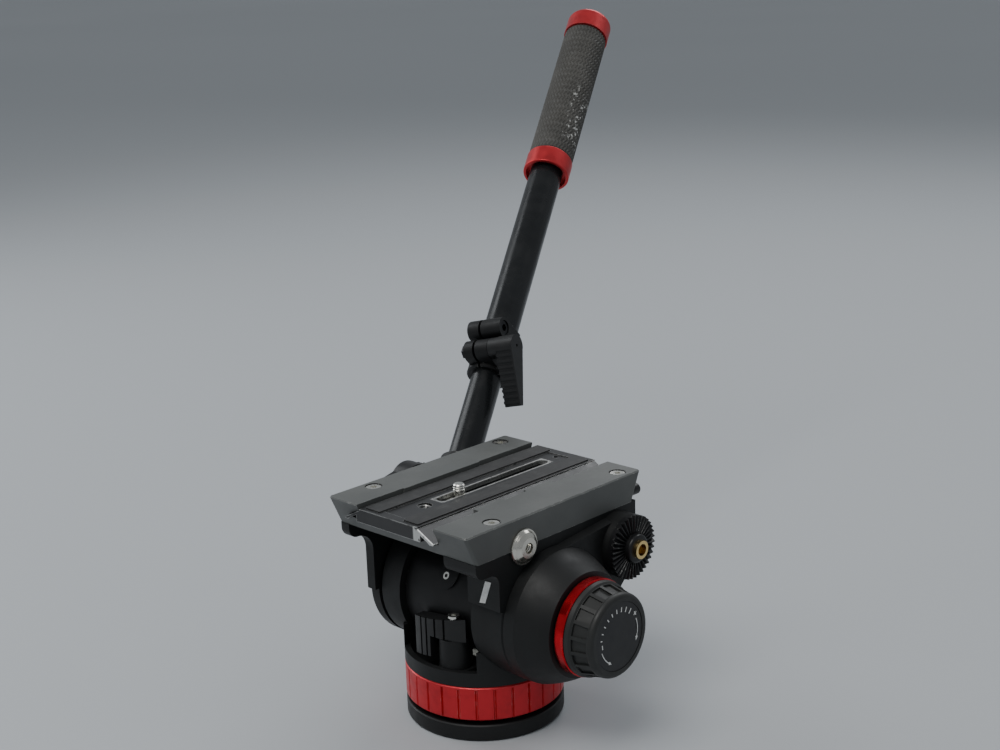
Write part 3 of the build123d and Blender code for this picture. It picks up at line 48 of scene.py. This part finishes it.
# ------------------------------------------------------------------ camera
cam_data = bpy.data.cameras.new("camera")
cam_data.lens = 58.3
cam_data.sensor_width = 36.0
cam_data.clip_start = 0.05
cam_data.clip_end = 120.0
cam = bpy.data.objects.new("camera", cam_data)
bpy.context.scene.collection.objects.link(cam)
cam_right = Vector((0.72370, 0.68938, -0.03198))
cam_up = Vector((-0.15940, 0.21208, 0.96416))
cam_back = Vector((0.67145, -0.69266, 0.26337))
cam_at = Vector((588.02, -586.51, 418.46)) * MM
cam.matrix_world = Matrix.Translation(cam_at) @ Matrix((
    (cam_right.x, cam_up.x, cam_back.x, 0),
    (cam_right.y, cam_up.y, cam_back.y, 0),
    (cam_right.z, cam_up.z, cam_back.z, 0),
    (0, 0, 0, 1)))
bpy.context.scene.camera = cam


# ------------------------------------------------------------------ materials
class Look:
    """A node material under construction."""

    def __init__(self, name):
        self.mat = bpy.data.materials.new(name)
        self.mat.use_nodes = True
        self.tree = self.mat.node_tree
        self.tree.nodes.clear()
        self.out = self.add("ShaderNodeOutputMaterial")
        self.shader = self.add("ShaderNodeBsdfPrincipled")
        self.link(self.shader.outputs["BSDF"], self.out.inputs["Surface"])
        self.coords = self.add("ShaderNodeTexCoord").outputs["Object"]

    def add(self, kind, **values):
        node = self.tree.nodes.new(kind)
        for key, value in values.items():
            setattr(node, key, value)
        return node

    def link(self, source, target):
        self.tree.links.new(source, target)

    def set(self, **values):
        for key, value in values.items():
            self.shader.inputs[key.replace("_", " ")].default_value = value

    def stretch(self, scale):
        """Object coordinates stretched by these factors."""
        node = self.add("ShaderNodeMapping")
        node.inputs["Scale"].default_value = scale
        self.link(self.coords, node.inputs["Vector"])
        return node.outputs["Vector"]

    def noise(self, scale, detail=3.0, rough=0.5, coords=None):
        node = self.add("ShaderNodeTexNoise")
        node.inputs["Scale"].default_value = scale
        node.inputs["Detail"].default_value = detail
        node.inputs["Roughness"].default_value = rough
        self.link(coords or self.coords, node.inputs["Vector"])
        return node.outputs["Fac"]

    def voronoi(self, scale, feature="F1", coords=None):
        node = self.add("ShaderNodeTexVoronoi", feature=feature)
        node.inputs["Scale"].default_value = scale
        self.link(coords or self.coords, node.inputs["Vector"])
        return node.outputs["Distance"]

    def span(self, value, low, high, out_low=0.0, out_high=1.0):
        node = self.add("ShaderNodeMapRange")
        node.interpolation_type = "SMOOTHSTEP"
        node.inputs["From Min"].default_value = low
        node.inputs["From Max"].default_value = high
        node.inputs["To Min"].default_value = out_low
        node.inputs["To Max"].default_value = out_high
        self.link(value, node.inputs["Value"])
        return node.outputs["Result"]

    def math(self, how, a, b=None):
        node = self.add("ShaderNodeMath", operation=how)
        for socket, value in zip(node.inputs, (a, b)):
            if value is None:
                continue
            if isinstance(value, (int, float)):
                socket.default_value = value
            else:
                self.link(value, socket)
        return node.outputs["Value"]

    def mix(self, fac, a, b):
        """Mix of two colours or colour outputs."""
        node = self.add("ShaderNodeMix", data_type="RGBA")
        self.link(fac, node.inputs["Factor"])
        for socket, value in ((node.inputs[6], a), (node.inputs[7], b)):
            if isinstance(value, tuple):
                socket.default_value = (*value, 1.0)
            else:
                self.link(value, socket)
        return node.outputs[2]

    def edges(self, radius):
        """1 on convex or concave edges within this radius, 0 on flat stretches."""
        bevel = self.add("ShaderNodeBevel", samples=4)
        bevel.inputs["Radius"].default_value = radius
        geometry = self.add("ShaderNodeNewGeometry")
        dot = self.add("ShaderNodeVectorMath", operation="DOT_PRODUCT")
        self.link(bevel.outputs["Normal"], dot.inputs[0])
        self.link(geometry.outputs["Normal"], dot.inputs[1])
        return self.math("SUBTRACT", 1.0, dot.outputs["Value"])

    def bump(self, height, strength, distance, under=None):
        node = self.add("ShaderNodeBump")
        node.inputs["Strength"].default_value = strength
        node.inputs["Distance"].default_value = distance
        self.link(height, node.inputs["Height"])
        if under is not None:
            self.link(under, node.inputs["Normal"])
        return node.outputs["Normal"]

    def part(self, axis):
        """One object coordinate, in metres."""
        node = self.add("ShaderNodeSeparateXYZ")
        self.link(self.coords, node.inputs[0])
        return node.outputs[axis]

    def along(self, origin, direction):
        """Distance from a point along a direction, in metres."""
        away = self.add("ShaderNodeVectorMath", operation="SUBTRACT")
        self.link(self.coords, away.inputs[0])
        away.inputs[1].default_value = tuple(origin)
        dot = self.add("ShaderNodeVectorMath", operation="DOT_PRODUCT")
        self.link(away.outputs["Vector"], dot.inputs[0])
        dot.inputs[1].default_value = tuple(direction)
        return dot.outputs["Value"]

    def both(self, *masks):
        """Product of several masks."""
        result = masks[0]
        for mask in masks[1:]:
            result = self.math("MULTIPLY", result, mask)
        return result

    def finish(self, colour=None, rough=None, metal=None, normal=None):
        sockets = ((colour, "Base Color"), (rough, "Roughness"), (metal, "Metallic"), (normal, "Normal"))
        for value, socket in sockets:
            if value is not None:
                self.link(value, self.shader.inputs[socket])
        return self.mat


def cast_paint(name, base, rough, grain=1500.0, grain_depth=0.00005, wear=0.0, dust=0.03):
    """Satin paint on a casting: fine pebbled grain, faint dust, bare metal at rubbed edges."""
    look = Look(name)
    look.set(IOR=1.5, Specular_IOR_Level=0.32)
    mottled = look.mix(look.span(look.noise(28.0, 5.0), 0.35, 0.7),
                       tuple(c * 0.86 for c in base), tuple(c * 1.14 + 0.001 for c in base))
    specks = look.span(look.noise(900.0, 2.0), 0.70, 0.80, 0.0, dust * 4)
    colour = look.mix(specks, mottled, tuple(c + 0.10 for c in base))
    rub = look.span(look.noise(60.0, 6.0, 0.65), 0.3, 0.7, rough - 0.07, rough + 0.08)
    height = look.noise(grain, 2.0, 0.6)
    normal = look.bump(height, 0.35, grain_depth)
    metal = None
    if wear > 0:
        mask = look.math("MULTIPLY", look.span(look.edges(0.0006), 0.02, 0.16),
                         look.span(look.noise(160.0, 5.0, 0.7), 0.62 - wear * 0.3, 0.72 - wear * 0.3))
        colour = look.mix(mask, colour, (0.42, 0.42, 0.40))
        metal = mask
    return look.finish(colour, rub, metal, normal)


def moulded(name, base, rough, grain=2400.0, grain_depth=0.00003, scuff=0.4):
    """Moulded plastic or rubber with a fine texture and scuffed patches."""
    look = Look(name)
    look.set(IOR=1.46)
    patches = look.span(look.noise(90.0, 6.0, 0.6), 0.45, 0.75, 0.0, scuff)
    colour = look.mix(patches, base, tuple(c * 1.5 + 0.004 for c in base))
    rub = look.span(look.noise(140.0, 4.0), 0.3, 0.7, rough - 0.06, rough + 0.06)
    normal = look.bump(look.voronoi(grain, "SMOOTH_F1"), 0.3, grain_depth)
    return look.finish(colour, rub, None, normal)


def turned_metal(name, base, rough, axis, streak=2600.0, tint=0.12):
    """Machined metal with fine tool marks square to the turning axis."""
    look = Look(name)
    look.set(Metallic=1.0)
    scale = [0.05, 0.05, 0.05]
    scale[axis] = 1.0
    coords = look.stretch(tuple(scale))
    lines = look.noise(streak, 2.0, 0.5, coords)
    stain = look.span(look.noise(120.0, 5.0), 0.4, 0.75)
    colour = look.mix(stain, base, tuple(c * (1 - tint) for c in base))
    rub = look.span(lines, 0.3, 0.7, rough - 0.05, rough + 0.08)
    normal = look.bump(lines, 0.12, 0.00002)
    return look.finish(colour, rub, None, normal)


def anodised(name, base, rough, metallic):
    """Dyed anodised aluminium: metallic, with faint blasting texture and darker handling marks."""
    look = Look(name)
    look.set(Metallic=metallic)
    marks = look.span(look.noise(70.0, 6.0, 0.6), 0.4, 0.75)
    colour = look.mix(marks, base, tuple(c * 0.72 for c in base))
    rub = look.span(look.noise(200.0, 5.0), 0.3, 0.7, rough - 0.05, rough + 0.1)
    mask = look.math("MULTIPLY", look.span(look.edges(0.0004), 0.03, 0.2),
                     look.span(look.noise(240.0, 4.0), 0.5, 0.62, 0.0, 0.6))
    colour = look.mix(mask, colour, (0.75, 0.45, 0.42))
    normal = look.bump(look.noise(2200.0, 2.0), 0.15, 0.00002)
    return look.finish(colour, rub, None, normal)


bar_foot = Vector((-74.7, 53.3, 94.0)) * MM
bar_splay = math.radians(19.0)
bar_rise = math.radians(41.7)
bar_dir = Vector((-math.sin(bar_splay), math.cos(bar_splay) * math.cos(bar_rise),
                  math.cos(bar_splay) * math.sin(bar_rise)))
bar_side = Vector((math.cos(bar_splay), math.sin(bar_splay) * math.cos(bar_rise),
                   math.sin(bar_splay) * math.sin(bar_rise)))
bar_up = Vector((0, -math.sin(bar_rise), math.cos(bar_rise)))
plate_x = -6.0 * MM
rail_screw_x = 44.6 * MM
rail_screw_ys = (-35.7 * MM, 64.4 * MM)


def plate_paint():
    """Black anodised plate, bare along its edges, round its slot and on the front end of one flank."""
    look = Look("plate_black")
    look.set(IOR=1.5)
    base = look.mix(look.span(look.noise(34.0, 5.0), 0.35, 0.7), (0.013, 0.013, 0.014), (0.020, 0.020, 0.021))
    x, y, z = look.part(0), look.part(1), look.part(2)
    edge = look.both(look.span(look.edges(0.0007), 0.015, 0.12),
                     look.span(look.noise(190.0, 5.0, 0.7), 0.34, 0.50))
    off_axis = look.math("ABSOLUTE", look.math("SUBTRACT", x, plate_x))
    rim = look.both(look.span(off_axis, 0.0051, 0.0043), look.span(z, 0.1248, 0.1254),
                    look.span(y, -0.0262, -0.0250), look.span(y, 0.0632, 0.0620),
                    look.span(look.noise(420.0, 5.0, 0.7), 0.36, 0.50))
    flank = look.both(look.span(y, -0.0602, -0.0608), look.span(x, 0.0128, 0.0140),
                      look.span(look.noise(300.0, 4.0), 0.30, 0.42))
    bare = look.math("MAXIMUM", look.math("MAXIMUM", edge, rim), flank)
    colour = look.mix(bare, base, (0.58, 0.58, 0.56))
    rub = look.span(look.noise(80.0, 6.0, 0.65), 0.3, 0.7, 0.28, 0.42)
    normal = look.bump(look.noise(1700.0, 2.0, 0.6), 0.3, 0.00004)
    return look.finish(colour, rub, bare, normal)


def platform_paint():
    """Grey satin rails with rubbed edges, and painted shade: a near-black ring round each screw head where
    its countersink lies in shade.
    """
    look = Look("platform_grey")
    look.set(IOR=1.5)
    base = look.mix(look.span(look.noise(28.0, 5.0), 0.35, 0.7), (0.080, 0.084, 0.081), (0.100, 0.104, 0.100))
    x, y = look.part(0), look.part(1)
    across = look.math("SUBTRACT", look.math("ABSOLUTE", x), rail_screw_x)
    # Painted shade: a near-black ring round each screw head, standing for the shade in its countersink.
    rings = []
    for screw_y in rail_screw_ys:
        along = look.math("SUBTRACT", y, screw_y)
        squared = look.math("ADD", look.math("MULTIPLY", across, across), look.math("MULTIPLY", along, along))
        rings.append(look.span(look.math("SQRT", squared), 0.0051, 0.0047))
    countersink_shade = look.math("MAXIMUM", rings[0], rings[1])
    colour = look.mix(countersink_shade, base, (0.006, 0.006, 0.006))
    edge = look.both(look.span(look.edges(0.0006), 0.02, 0.16),
                     look.span(look.noise(160.0, 5.0, 0.7), 0.50, 0.60))
    colour = look.mix(edge, colour, (0.42, 0.42, 0.40))
    rub = look.span(look.noise(60.0, 6.0, 0.65), 0.3, 0.7, 0.36, 0.50)
    return look.finish(colour, rub, edge, look.bump(look.noise(1900.0, 2.0, 0.6), 0.3, 0.00003))


def strip_rubber():
    """Rubber strips with fine lines along the plate and paler handling marks."""
    look = Look("strip_rubber")
    look.set(IOR=1.46)
    lines = look.noise(1500.0, 2.0, 0.5, look.stretch((1.0, 0.012, 1.0)))
    marks = look.span(look.noise(110.0, 6.0, 0.65), 0.48, 0.72, 0.0, 0.7)
    base = look.mix(look.span(lines, 0.35, 0.65), (0.012, 0.012, 0.012), (0.030, 0.030, 0.030))
    colour = look.mix(marks, base, (0.046, 0.046, 0.045))
    rub = look.span(lines, 0.3, 0.7, 0.42, 0.58)
    return look.finish(colour, rub, None, look.bump(lines, 0.4, 0.00010))


def grip_rubber():
    """Warm grey grip rubber with pale dust in its pattern and chips near the lower end."""
    look = Look("grip_rubber")
    look.set(IOR=1.46)
    base = look.mix(look.span(look.noise(55.0, 5.0), 0.35, 0.7), (0.050, 0.048, 0.043), (0.074, 0.071, 0.064))
    specks = look.span(look.noise(800.0, 2.0), 0.72, 0.80, 0.0, 0.6)
    colour = look.mix(specks, base, (0.20, 0.195, 0.18))
    height = look.along(bar_foot, bar_dir)
    side = look.along(bar_foot, bar_side)
    chips = look.both(look.span(height, 0.278, 0.288), look.span(height, 0.338, 0.322),
                      look.span(side, 0.0095, 0.0130), look.span(look.noise(300.0, 5.0, 0.7), 0.57, 0.61))
    colour = look.mix(chips, colour, (0.52, 0.52, 0.50))
    rub = look.span(look.noise(160.0, 4.0), 0.3, 0.7, 0.58, 0.72)
    return look.finish(colour, rub, None, look.bump(look.noise(2600.0, 2.0), 0.3, 0.00004))


def print_white():
    """White printing ink, slightly uneven."""
    look = Look("print_white")
    look.set(IOR=1.45)
    colour = look.mix(look.span(look.noise(500.0, 4.0), 0.35, 0.7), (0.80, 0.80, 0.78), (0.66, 0.66, 0.64))
    rub = look.span(look.noise(300.0, 3.0), 0.3, 0.7, 0.42, 0.55)
    return look.finish(colour, rub)


def vial_liquid():
    """Yellow-green bubble level with a clear, glossy top."""
    look = Look("vial_green")
    look.set(IOR=1.49, Coat_Weight=0.8, Coat_Roughness=0.03)
    colour = look.mix(look.span(look.noise(180.0, 3.0), 0.4, 0.7), (0.30, 0.44, 0.05), (0.40, 0.54, 0.10))
    rub = look.span(look.noise(90.0, 2.0), 0.3, 0.7, 0.06, 0.12)
    return look.finish(colour, rub)


mat_cast = cast_paint("cast_black", (0.0095, 0.0100, 0.0102), 0.50)
mat_drum = cast_paint("drum_black", (0.0065, 0.0065, 0.0070), 0.46, wear=0.15)
mat_platform = platform_paint()
mat_plate = plate_paint()
mat_rosette = cast_paint("rosette_black", (0.010, 0.010, 0.011), 0.34, wear=0.25)
mat_tube = cast_paint("tube_black", (0.009, 0.010, 0.011), 0.27, grain=2600.0, grain_depth=0.00001, wear=0.0)
mat_knob = moulded("knob_rubber", (0.019, 0.0195, 0.0185), 0.50)
mat_plastic = moulded("black_plastic", (0.0085, 0.0085, 0.0090), 0.40)
mat_strip = strip_rubber()
mat_grip = grip_rubber()
mat_white = print_white()
mat_vial = vial_liquid()
mat_label = moulded("label_black", (0.010, 0.010, 0.011), 0.38, grain=3200.0, grain_depth=0.00001, scuff=0.2)
mat_red = anodised("red_anodised", (0.60, 0.022, 0.032), 0.36, 0.45)
mat_red_bright = anodised("red_bright", (0.62, 0.012, 0.022), 0.16, 0.85)
mat_red_cap = anodised("red_cap", (0.56, 0.030, 0.036), 0.34, 0.6)
mat_steel_x = turned_metal("steel_turned_x", (0.66, 0.64, 0.58), 0.20, 0)
mat_steel_z = turned_metal("steel_turned_z", (0.80, 0.79, 0.74), 0.22, 2)
mat_black_steel = turned_metal("black_steel", (0.035, 0.035, 0.037), 0.32, 0)
mat_brass = turned_metal("brass_turned", (0.80, 0.60, 0.27), 0.20, 0)


def paint(material, *names):
    """Gives CAD nodes this material."""
    for name in names:
        mesh = nodes[name].data
        mesh.materials.clear()
        mesh.materials.append(material)


paint(mat_cast, "base_disc", "fork_housing", "left_side_housing", "right_side_housing", "level_housing",
      "pan_lock_boss", "drum_cover", "ring_retainer")
paint(mat_drum, "tilt_drum", "pan_bar_clamp", "bar_clamp_collar")
paint(mat_platform, "platform")
paint(mat_plate, "camera_plate")
paint(mat_rosette, "left_rosette", "right_rosette")
paint(mat_tube, "pan_bar_inner_tube", "pan_bar_outer_tube")
paint(mat_knob, "tilt_drag_knob")
paint(mat_plastic, "pan_lock_lever", "plate_lock_lever", "plate_release_button", "tilt_lock_lever",
      "pan_bar_knob", "wing_lever", "plate_jaw", "pan_fluid_cartridge", "tilt_fluid_cartridge",
      "tilt_drag_stack")
paint(mat_strip, "plate_pads")
paint(mat_grip, "pan_bar_grip")
paint(mat_white, "index_mark")
paint(mat_vial, "level_vial")
paint(mat_label, "knob_label")
paint(mat_red, "pan_drag_ring")
paint(mat_red_bright, "knob_ring")
paint(mat_red_cap, "grip_ring", "grip_cap")
paint(mat_steel_x, "accessory_bushing", "tilt_shaft", "plate_lock_shaft", "pan_bar_clamp_screw",
      "tilt_lock_screw",
      "tilt_bearings", "counterbalance_spring", "release_spring")
paint(mat_steel_z, "base_screws", "pan_spindle", "spindle_washer", "spindle_nut", "platform_screws",
      "camera_screw",
      "screw_collar", "pan_lock_pin", "drum_screw", "base_thread_insert")
paint(mat_black_steel, "collar_screw", "wing_lever_bolt")
paint(mat_brass, "left_rosette_insert", "right_rosette_insert", "pan_bushings")


# ------------------------------------------------------------------ floor and light
def stage_material():
    look = Look("studio_grey")
    look.set(Roughness=0.62)
    tone = look.mix(look.span(look.noise(0.5, 1.0), 0.3, 0.7), (0.440, 0.460, 0.480), (0.455, 0.475, 0.495))
    return look.finish(tone)


def make_mesh(name, verts, faces, material=None, smooth=True):
    mesh = bpy.data.meshes.new(name)
    mesh.from_pydata([tuple(v) for v in verts], [], faces)
    mesh.validate()
    mesh.update()
    obj = bpy.data.objects.new(name, mesh)
    bpy.context.scene.collection.objects.link(obj)
    if material:
        mesh.materials.append(material)
    for poly in mesh.polygons:
        poly.use_smooth = smooth
    return obj


floor_reach = 40.0
floor = make_mesh("floor", [(-floor_reach, -floor_reach, 0), (floor_reach, -floor_reach, 0),
                            (floor_reach, floor_reach, 0), (-floor_reach, floor_reach, 0)],
                  [(0, 1, 2, 3)], stage_material())

world = bpy.data.worlds.new("studio")
world.use_nodes = True
world.node_tree.nodes["Background"].inputs["Color"].default_value = (0.50, 0.53, 0.56, 1)
world.node_tree.nodes["Background"].inputs["Strength"].default_value = 0.62
bpy.context.scene.world = world


# ------------------------------------------------------------------ pieces over the CAD
def closed(obj):
    """Points every face outward."""
    work = bmesh.new()
    work.from_mesh(obj.data)
    bmesh.ops.recalc_face_normals(work, faces=work.faces)
    work.to_mesh(obj.data)
    work.free()
    return obj


grip_s0 = 272.0 * MM
grip_s1 = 393.0 * MM
grip_bore = 11.15 * MM
grip_valley = 14.65 * MM
rib_height = 0.75 * MM
rib_count = 38
rib_samples = 6
wave_length = 5.3 * MM
wave_samples = 8
wave_sway = 0.34
end_round = 1.2 * MM


def grip_radius(s, angle):
    """Outer radius of the grip: ribs that zigzag along the bar, rounded off at both ends."""
    sway = wave_sway * math.asin(math.sin(2 * math.pi * s / wave_length)) / (math.pi / 2)
    crest = 0.5 + 0.5 * math.cos(rib_count * angle + 2 * math.pi * sway)
    from_end = min(s - grip_s0, grip_s1 - s) / end_round
    rounding = 0.0
    if from_end < 1:
        rounding = end_round * 0.8 * (1 - math.sqrt(max(0.0, 1 - (1 - from_end) ** 2)))
    return grip_valley + rib_height * crest ** 0.8 * min(1.0, from_end) - rounding


def patterned_grip():
    sides = rib_count * rib_samples
    rings = int((grip_s1 - grip_s0) / wave_length * wave_samples)
    verts = []
    for ring in range(rings + 1):
        s = grip_s0 + (grip_s1 - grip_s0) * ring / rings
        for side in range(sides):
            angle = 2 * math.pi * side / sides
            out = bar_side * math.cos(angle) + bar_up * math.sin(angle)
            verts.append(bar_foot + bar_dir * s + out * grip_radius(s, angle))
    for s in (grip_s0, grip_s1):
        for side in range(sides):
            angle = 2 * math.pi * side / sides
            out = bar_side * math.cos(angle) + bar_up * math.sin(angle)
            verts.append(bar_foot + bar_dir * s + out * grip_bore)
    low_bore = (rings + 1) * sides
    high_bore = low_bore + sides
    rows = [(r * sides, (r + 1) * sides) for r in range(rings)]
    rows += [(rings * sides, high_bore), (high_bore, low_bore), (low_bore, 0)]
    faces = []
    for first, second in rows:
        for side in range(sides):
            beside = (side + 1) % sides
            faces.append((first + side, first + beside, second + beside, second + side))
    return closed(make_mesh("grip_pattern", verts, faces, mat_grip))


grip = patterned_grip()
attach(grip, "bar_outer")
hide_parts("pan_bar_grip")


def thread(name, body, at, axis, length, root, tip, pitch, material, steps=28):
    """One helical ridge of triangular section, run out at both ends.

    With its tip inside its root it is the thread of a nut.
    """
    at, axis = Vector(at) * MM, Vector(axis).normalized()
    across = axis.orthogonal().normalized()
    beside = axis.cross(across)
    half = 0.42 * pitch * MM
    count = int((length - pitch) / pitch * steps)
    verts, faces = [], []
    for step in range(count + 1):
        angle = 2 * math.pi * step / steps
        run_out = max(0.04, min(1.0, step / (0.4 * steps), (count - step) / (0.4 * steps)))
        out = across * math.cos(angle) + beside * math.sin(angle)
        middle = at + axis * (pitch * (0.5 + step / steps)) * MM
        crest = (root + (tip - root) * run_out) * MM
        verts += [middle + out * root * MM - axis * half,
                  middle + out * crest,
                  middle + out * root * MM + axis * half]
        if step:
            b, a = 3 * step, 3 * (step - 1)
            faces += [(a, b, b + 1, a + 1), (a + 1, b + 1, b + 2, a + 2), (a + 2, b + 2, b, a)]
    last = 3 * count
    faces += [(0, 1, 2), (last + 2, last + 1, last)]
    piece = closed(make_mesh(name, verts, faces, material, smooth=False))
    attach(piece, body)


quarter_pitch = 25.4 / 20
three_eighths_pitch = 25.4 / 16
thread("camera_screw_thread", "camera_screw", (-6.0, -8.5, 127.9), (0, 0, 1), 4.3, 3.12, 3.40, quarter_pitch,
       mat_steel_z)
thread("rosette_thread_ridge", "tilt_head", (55.0, 53.3, 94.0), (1, 0, 0), 9.5, 3.34, 2.92, quarter_pitch,
       mat_brass)
thread("accessory_thread_ridge", "tilt_head", (45.0, -20.7, 114.0), (1, 0, 0), 10.8, 2.89, 2.50,
       quarter_pitch, mat_steel_x)
thread("plate_thread_ridge", "plate", (-6.0, -34.2, 121.0), (0, 0, 1), 6.2, 4.01, 3.55, three_eighths_pitch,
       mat_plate)

spring_foot = Vector((46.8, 67.4, 117.6)) * MM
spring_length = 7.8 * MM
spring_radius = 1.8 * MM
spring_wire = 0.3 * MM
spring_step = 1.5 * MM


def coil_spring(steps=24, sides=8):
    """Return spring of the release button, wound along Y."""
    count = int(spring_length / spring_step * steps)
    verts, faces = [], []
    for step in range(count + 1):
        angle = 2 * math.pi * step / steps
        out = Vector((math.cos(angle), 0, math.sin(angle)))
        middle = spring_foot + out * spring_radius + Vector((0, spring_length * step / count, 0))
        for side in range(sides):
            turn = 2 * math.pi * side / sides
            rise = Vector((0, spring_wire * math.sin(turn), 0))
            verts.append(middle + out * spring_wire * math.cos(turn) + rise)
        if step:
            first, second = (step - 1) * sides, step * sides
            for side in range(sides):
                beside = (side + 1) % sides
                faces.append((first + side, first + beside, second + beside, second + side))
    faces += [tuple(range(sides)), tuple(reversed(range(count * sides, (count + 1) * sides)))]
    return closed(make_mesh("release_coil", verts, faces, mat_steel_z))


coil = coil_spring()
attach(coil, "tilt_head")
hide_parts("release_spring")
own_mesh(coil)

dial_x = 98.1
dial_z = 70.0
ink_depth = 0.12


def arc_band(start, end, radius, width, steps=14):
    """Outline of a stretch of ring, in degrees and millimetres."""
    turns = [math.radians(start + (end - start) * k / steps) for k in range(steps + 1)]
    far, near = radius + width / 2, radius - width / 2
    outer = [(far * math.cos(t), far * math.sin(t)) for t in turns]
    inner = [(near * math.cos(t), near * math.sin(t)) for t in reversed(turns)]
    return outer + inner


def arrow_head(angle, radius, size, sign):
    """Triangle on the ring that points the way the arc runs."""
    turn = math.radians(angle)
    out = Vector((math.cos(turn), math.sin(turn)))
    on = Vector((-math.sin(turn), math.cos(turn))) * sign
    half, reach = size * 0.6, size * 1.5
    return [tuple(out * (radius + half)), tuple(out * radius + on * reach), tuple(out * (radius - half))]


def bar_mark(angle, radius, length, width, turn):
    """Straight stroke centred on the ring, turned from the radial direction by this many degrees."""
    place = math.radians(angle)
    centre = Vector((math.cos(place), math.sin(place))) * radius
    lean = math.radians(angle + turn)
    run = Vector((math.cos(lean), math.sin(lean))) * length / 2
    side = Vector((-math.sin(lean), math.cos(lean))) * width / 2
    return [tuple(centre - run - side), tuple(centre + run - side),
            tuple(centre + run + side), tuple(centre - run + side)]


def plus_mark(angle, radius, size, width):
    place = math.radians(angle)
    centre = Vector((math.cos(place), math.sin(place))) * radius
    a, b = size / 2, width / 2
    corners = [(a, -b), (a, b), (b, b), (b, a), (-b, a), (-b, b),
               (-a, b), (-a, -b), (-b, -b), (-b, -a), (b, -a), (b, -b)]
    turned = []
    for x, y in corners:
        turned.append((centre.x + x * math.cos(place) - y * math.sin(place),
                       centre.y + x * math.sin(place) + y * math.cos(place)))
    return turned


outlines = [plus_mark(34, 15.4, 2.6, 0.55), bar_mark(187, 13.5, 2.4, 0.55, 90),
            arc_band(22, -18, 14.6, 0.5), arrow_head(-18, 14.6, 1.5, -1),
            arc_band(199, 235, 14.6, 0.5), arrow_head(235, 14.6, 1.5, 1)]
tick_count = 9
for tick in range(tick_count):
    length = 1.1 + 0.24 * tick
    outlines.append(bar_mark(172 - 120 * tick / (tick_count - 1), 14.2, length, 0.55, 0))


def dial_marks():
    work = bmesh.new()
    for outline in outlines:
        rings = []
        for x in (dial_x, dial_x + ink_depth):
            rings.append([work.verts.new(Vector((x, y, dial_z + z)) * MM) for y, z in outline])
        count = len(outline)
        for k in range(count):
            beside = (k + 1) % count
            work.faces.new((rings[0][k], rings[0][beside], rings[1][beside], rings[1][k]))
        work.faces.new(rings[0][::-1])
        work.faces.new(rings[1])
    bmesh.ops.triangulate(work, faces=[f for f in work.faces if len(f.verts) > 4])
    bmesh.ops.recalc_face_normals(work, faces=work.faces)
    mesh = bpy.data.meshes.new("dial_marks")
    work.to_mesh(mesh)
    work.free()
    mesh.materials.append(mat_white)
    piece = bpy.data.objects.new("dial_marks", mesh)
    bpy.context.scene.collection.objects.link(piece)
    return piece


marks = dial_marks()
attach(marks, "drag_knob")


# ------------------------------------------------------------------ lights
def area_light(name, at, towards, size, power, colour=(1, 1, 1)):
    data = bpy.data.lights.new(name, "AREA")
    data.shape = "RECTANGLE"
    data.size, data.size_y = size
    data.energy = power
    data.color = colour
    obj = bpy.data.objects.new(name, data)
    bpy.context.scene.collection.objects.link(obj)
    obj.location = at
    obj.rotation_euler = (Vector(towards) - Vector(at)).to_track_quat("-Z", "Y").to_euler()


area_light("key", (0.2, -0.9, 1.7), (0, 0, 0.12), (1.2, 0.9), 18, (1.0, 0.99, 0.97))
area_light("side", (-1.5, -0.3, 0.9), (0, 0, 0.15), (0.8, 1.2), 9, (0.94, 0.97, 1.0))
area_light("back", (-0.4, 1.6, 1.5), (0, 0, 0.1), (1.6, 0.8), 14, (0.96, 0.98, 1.0))
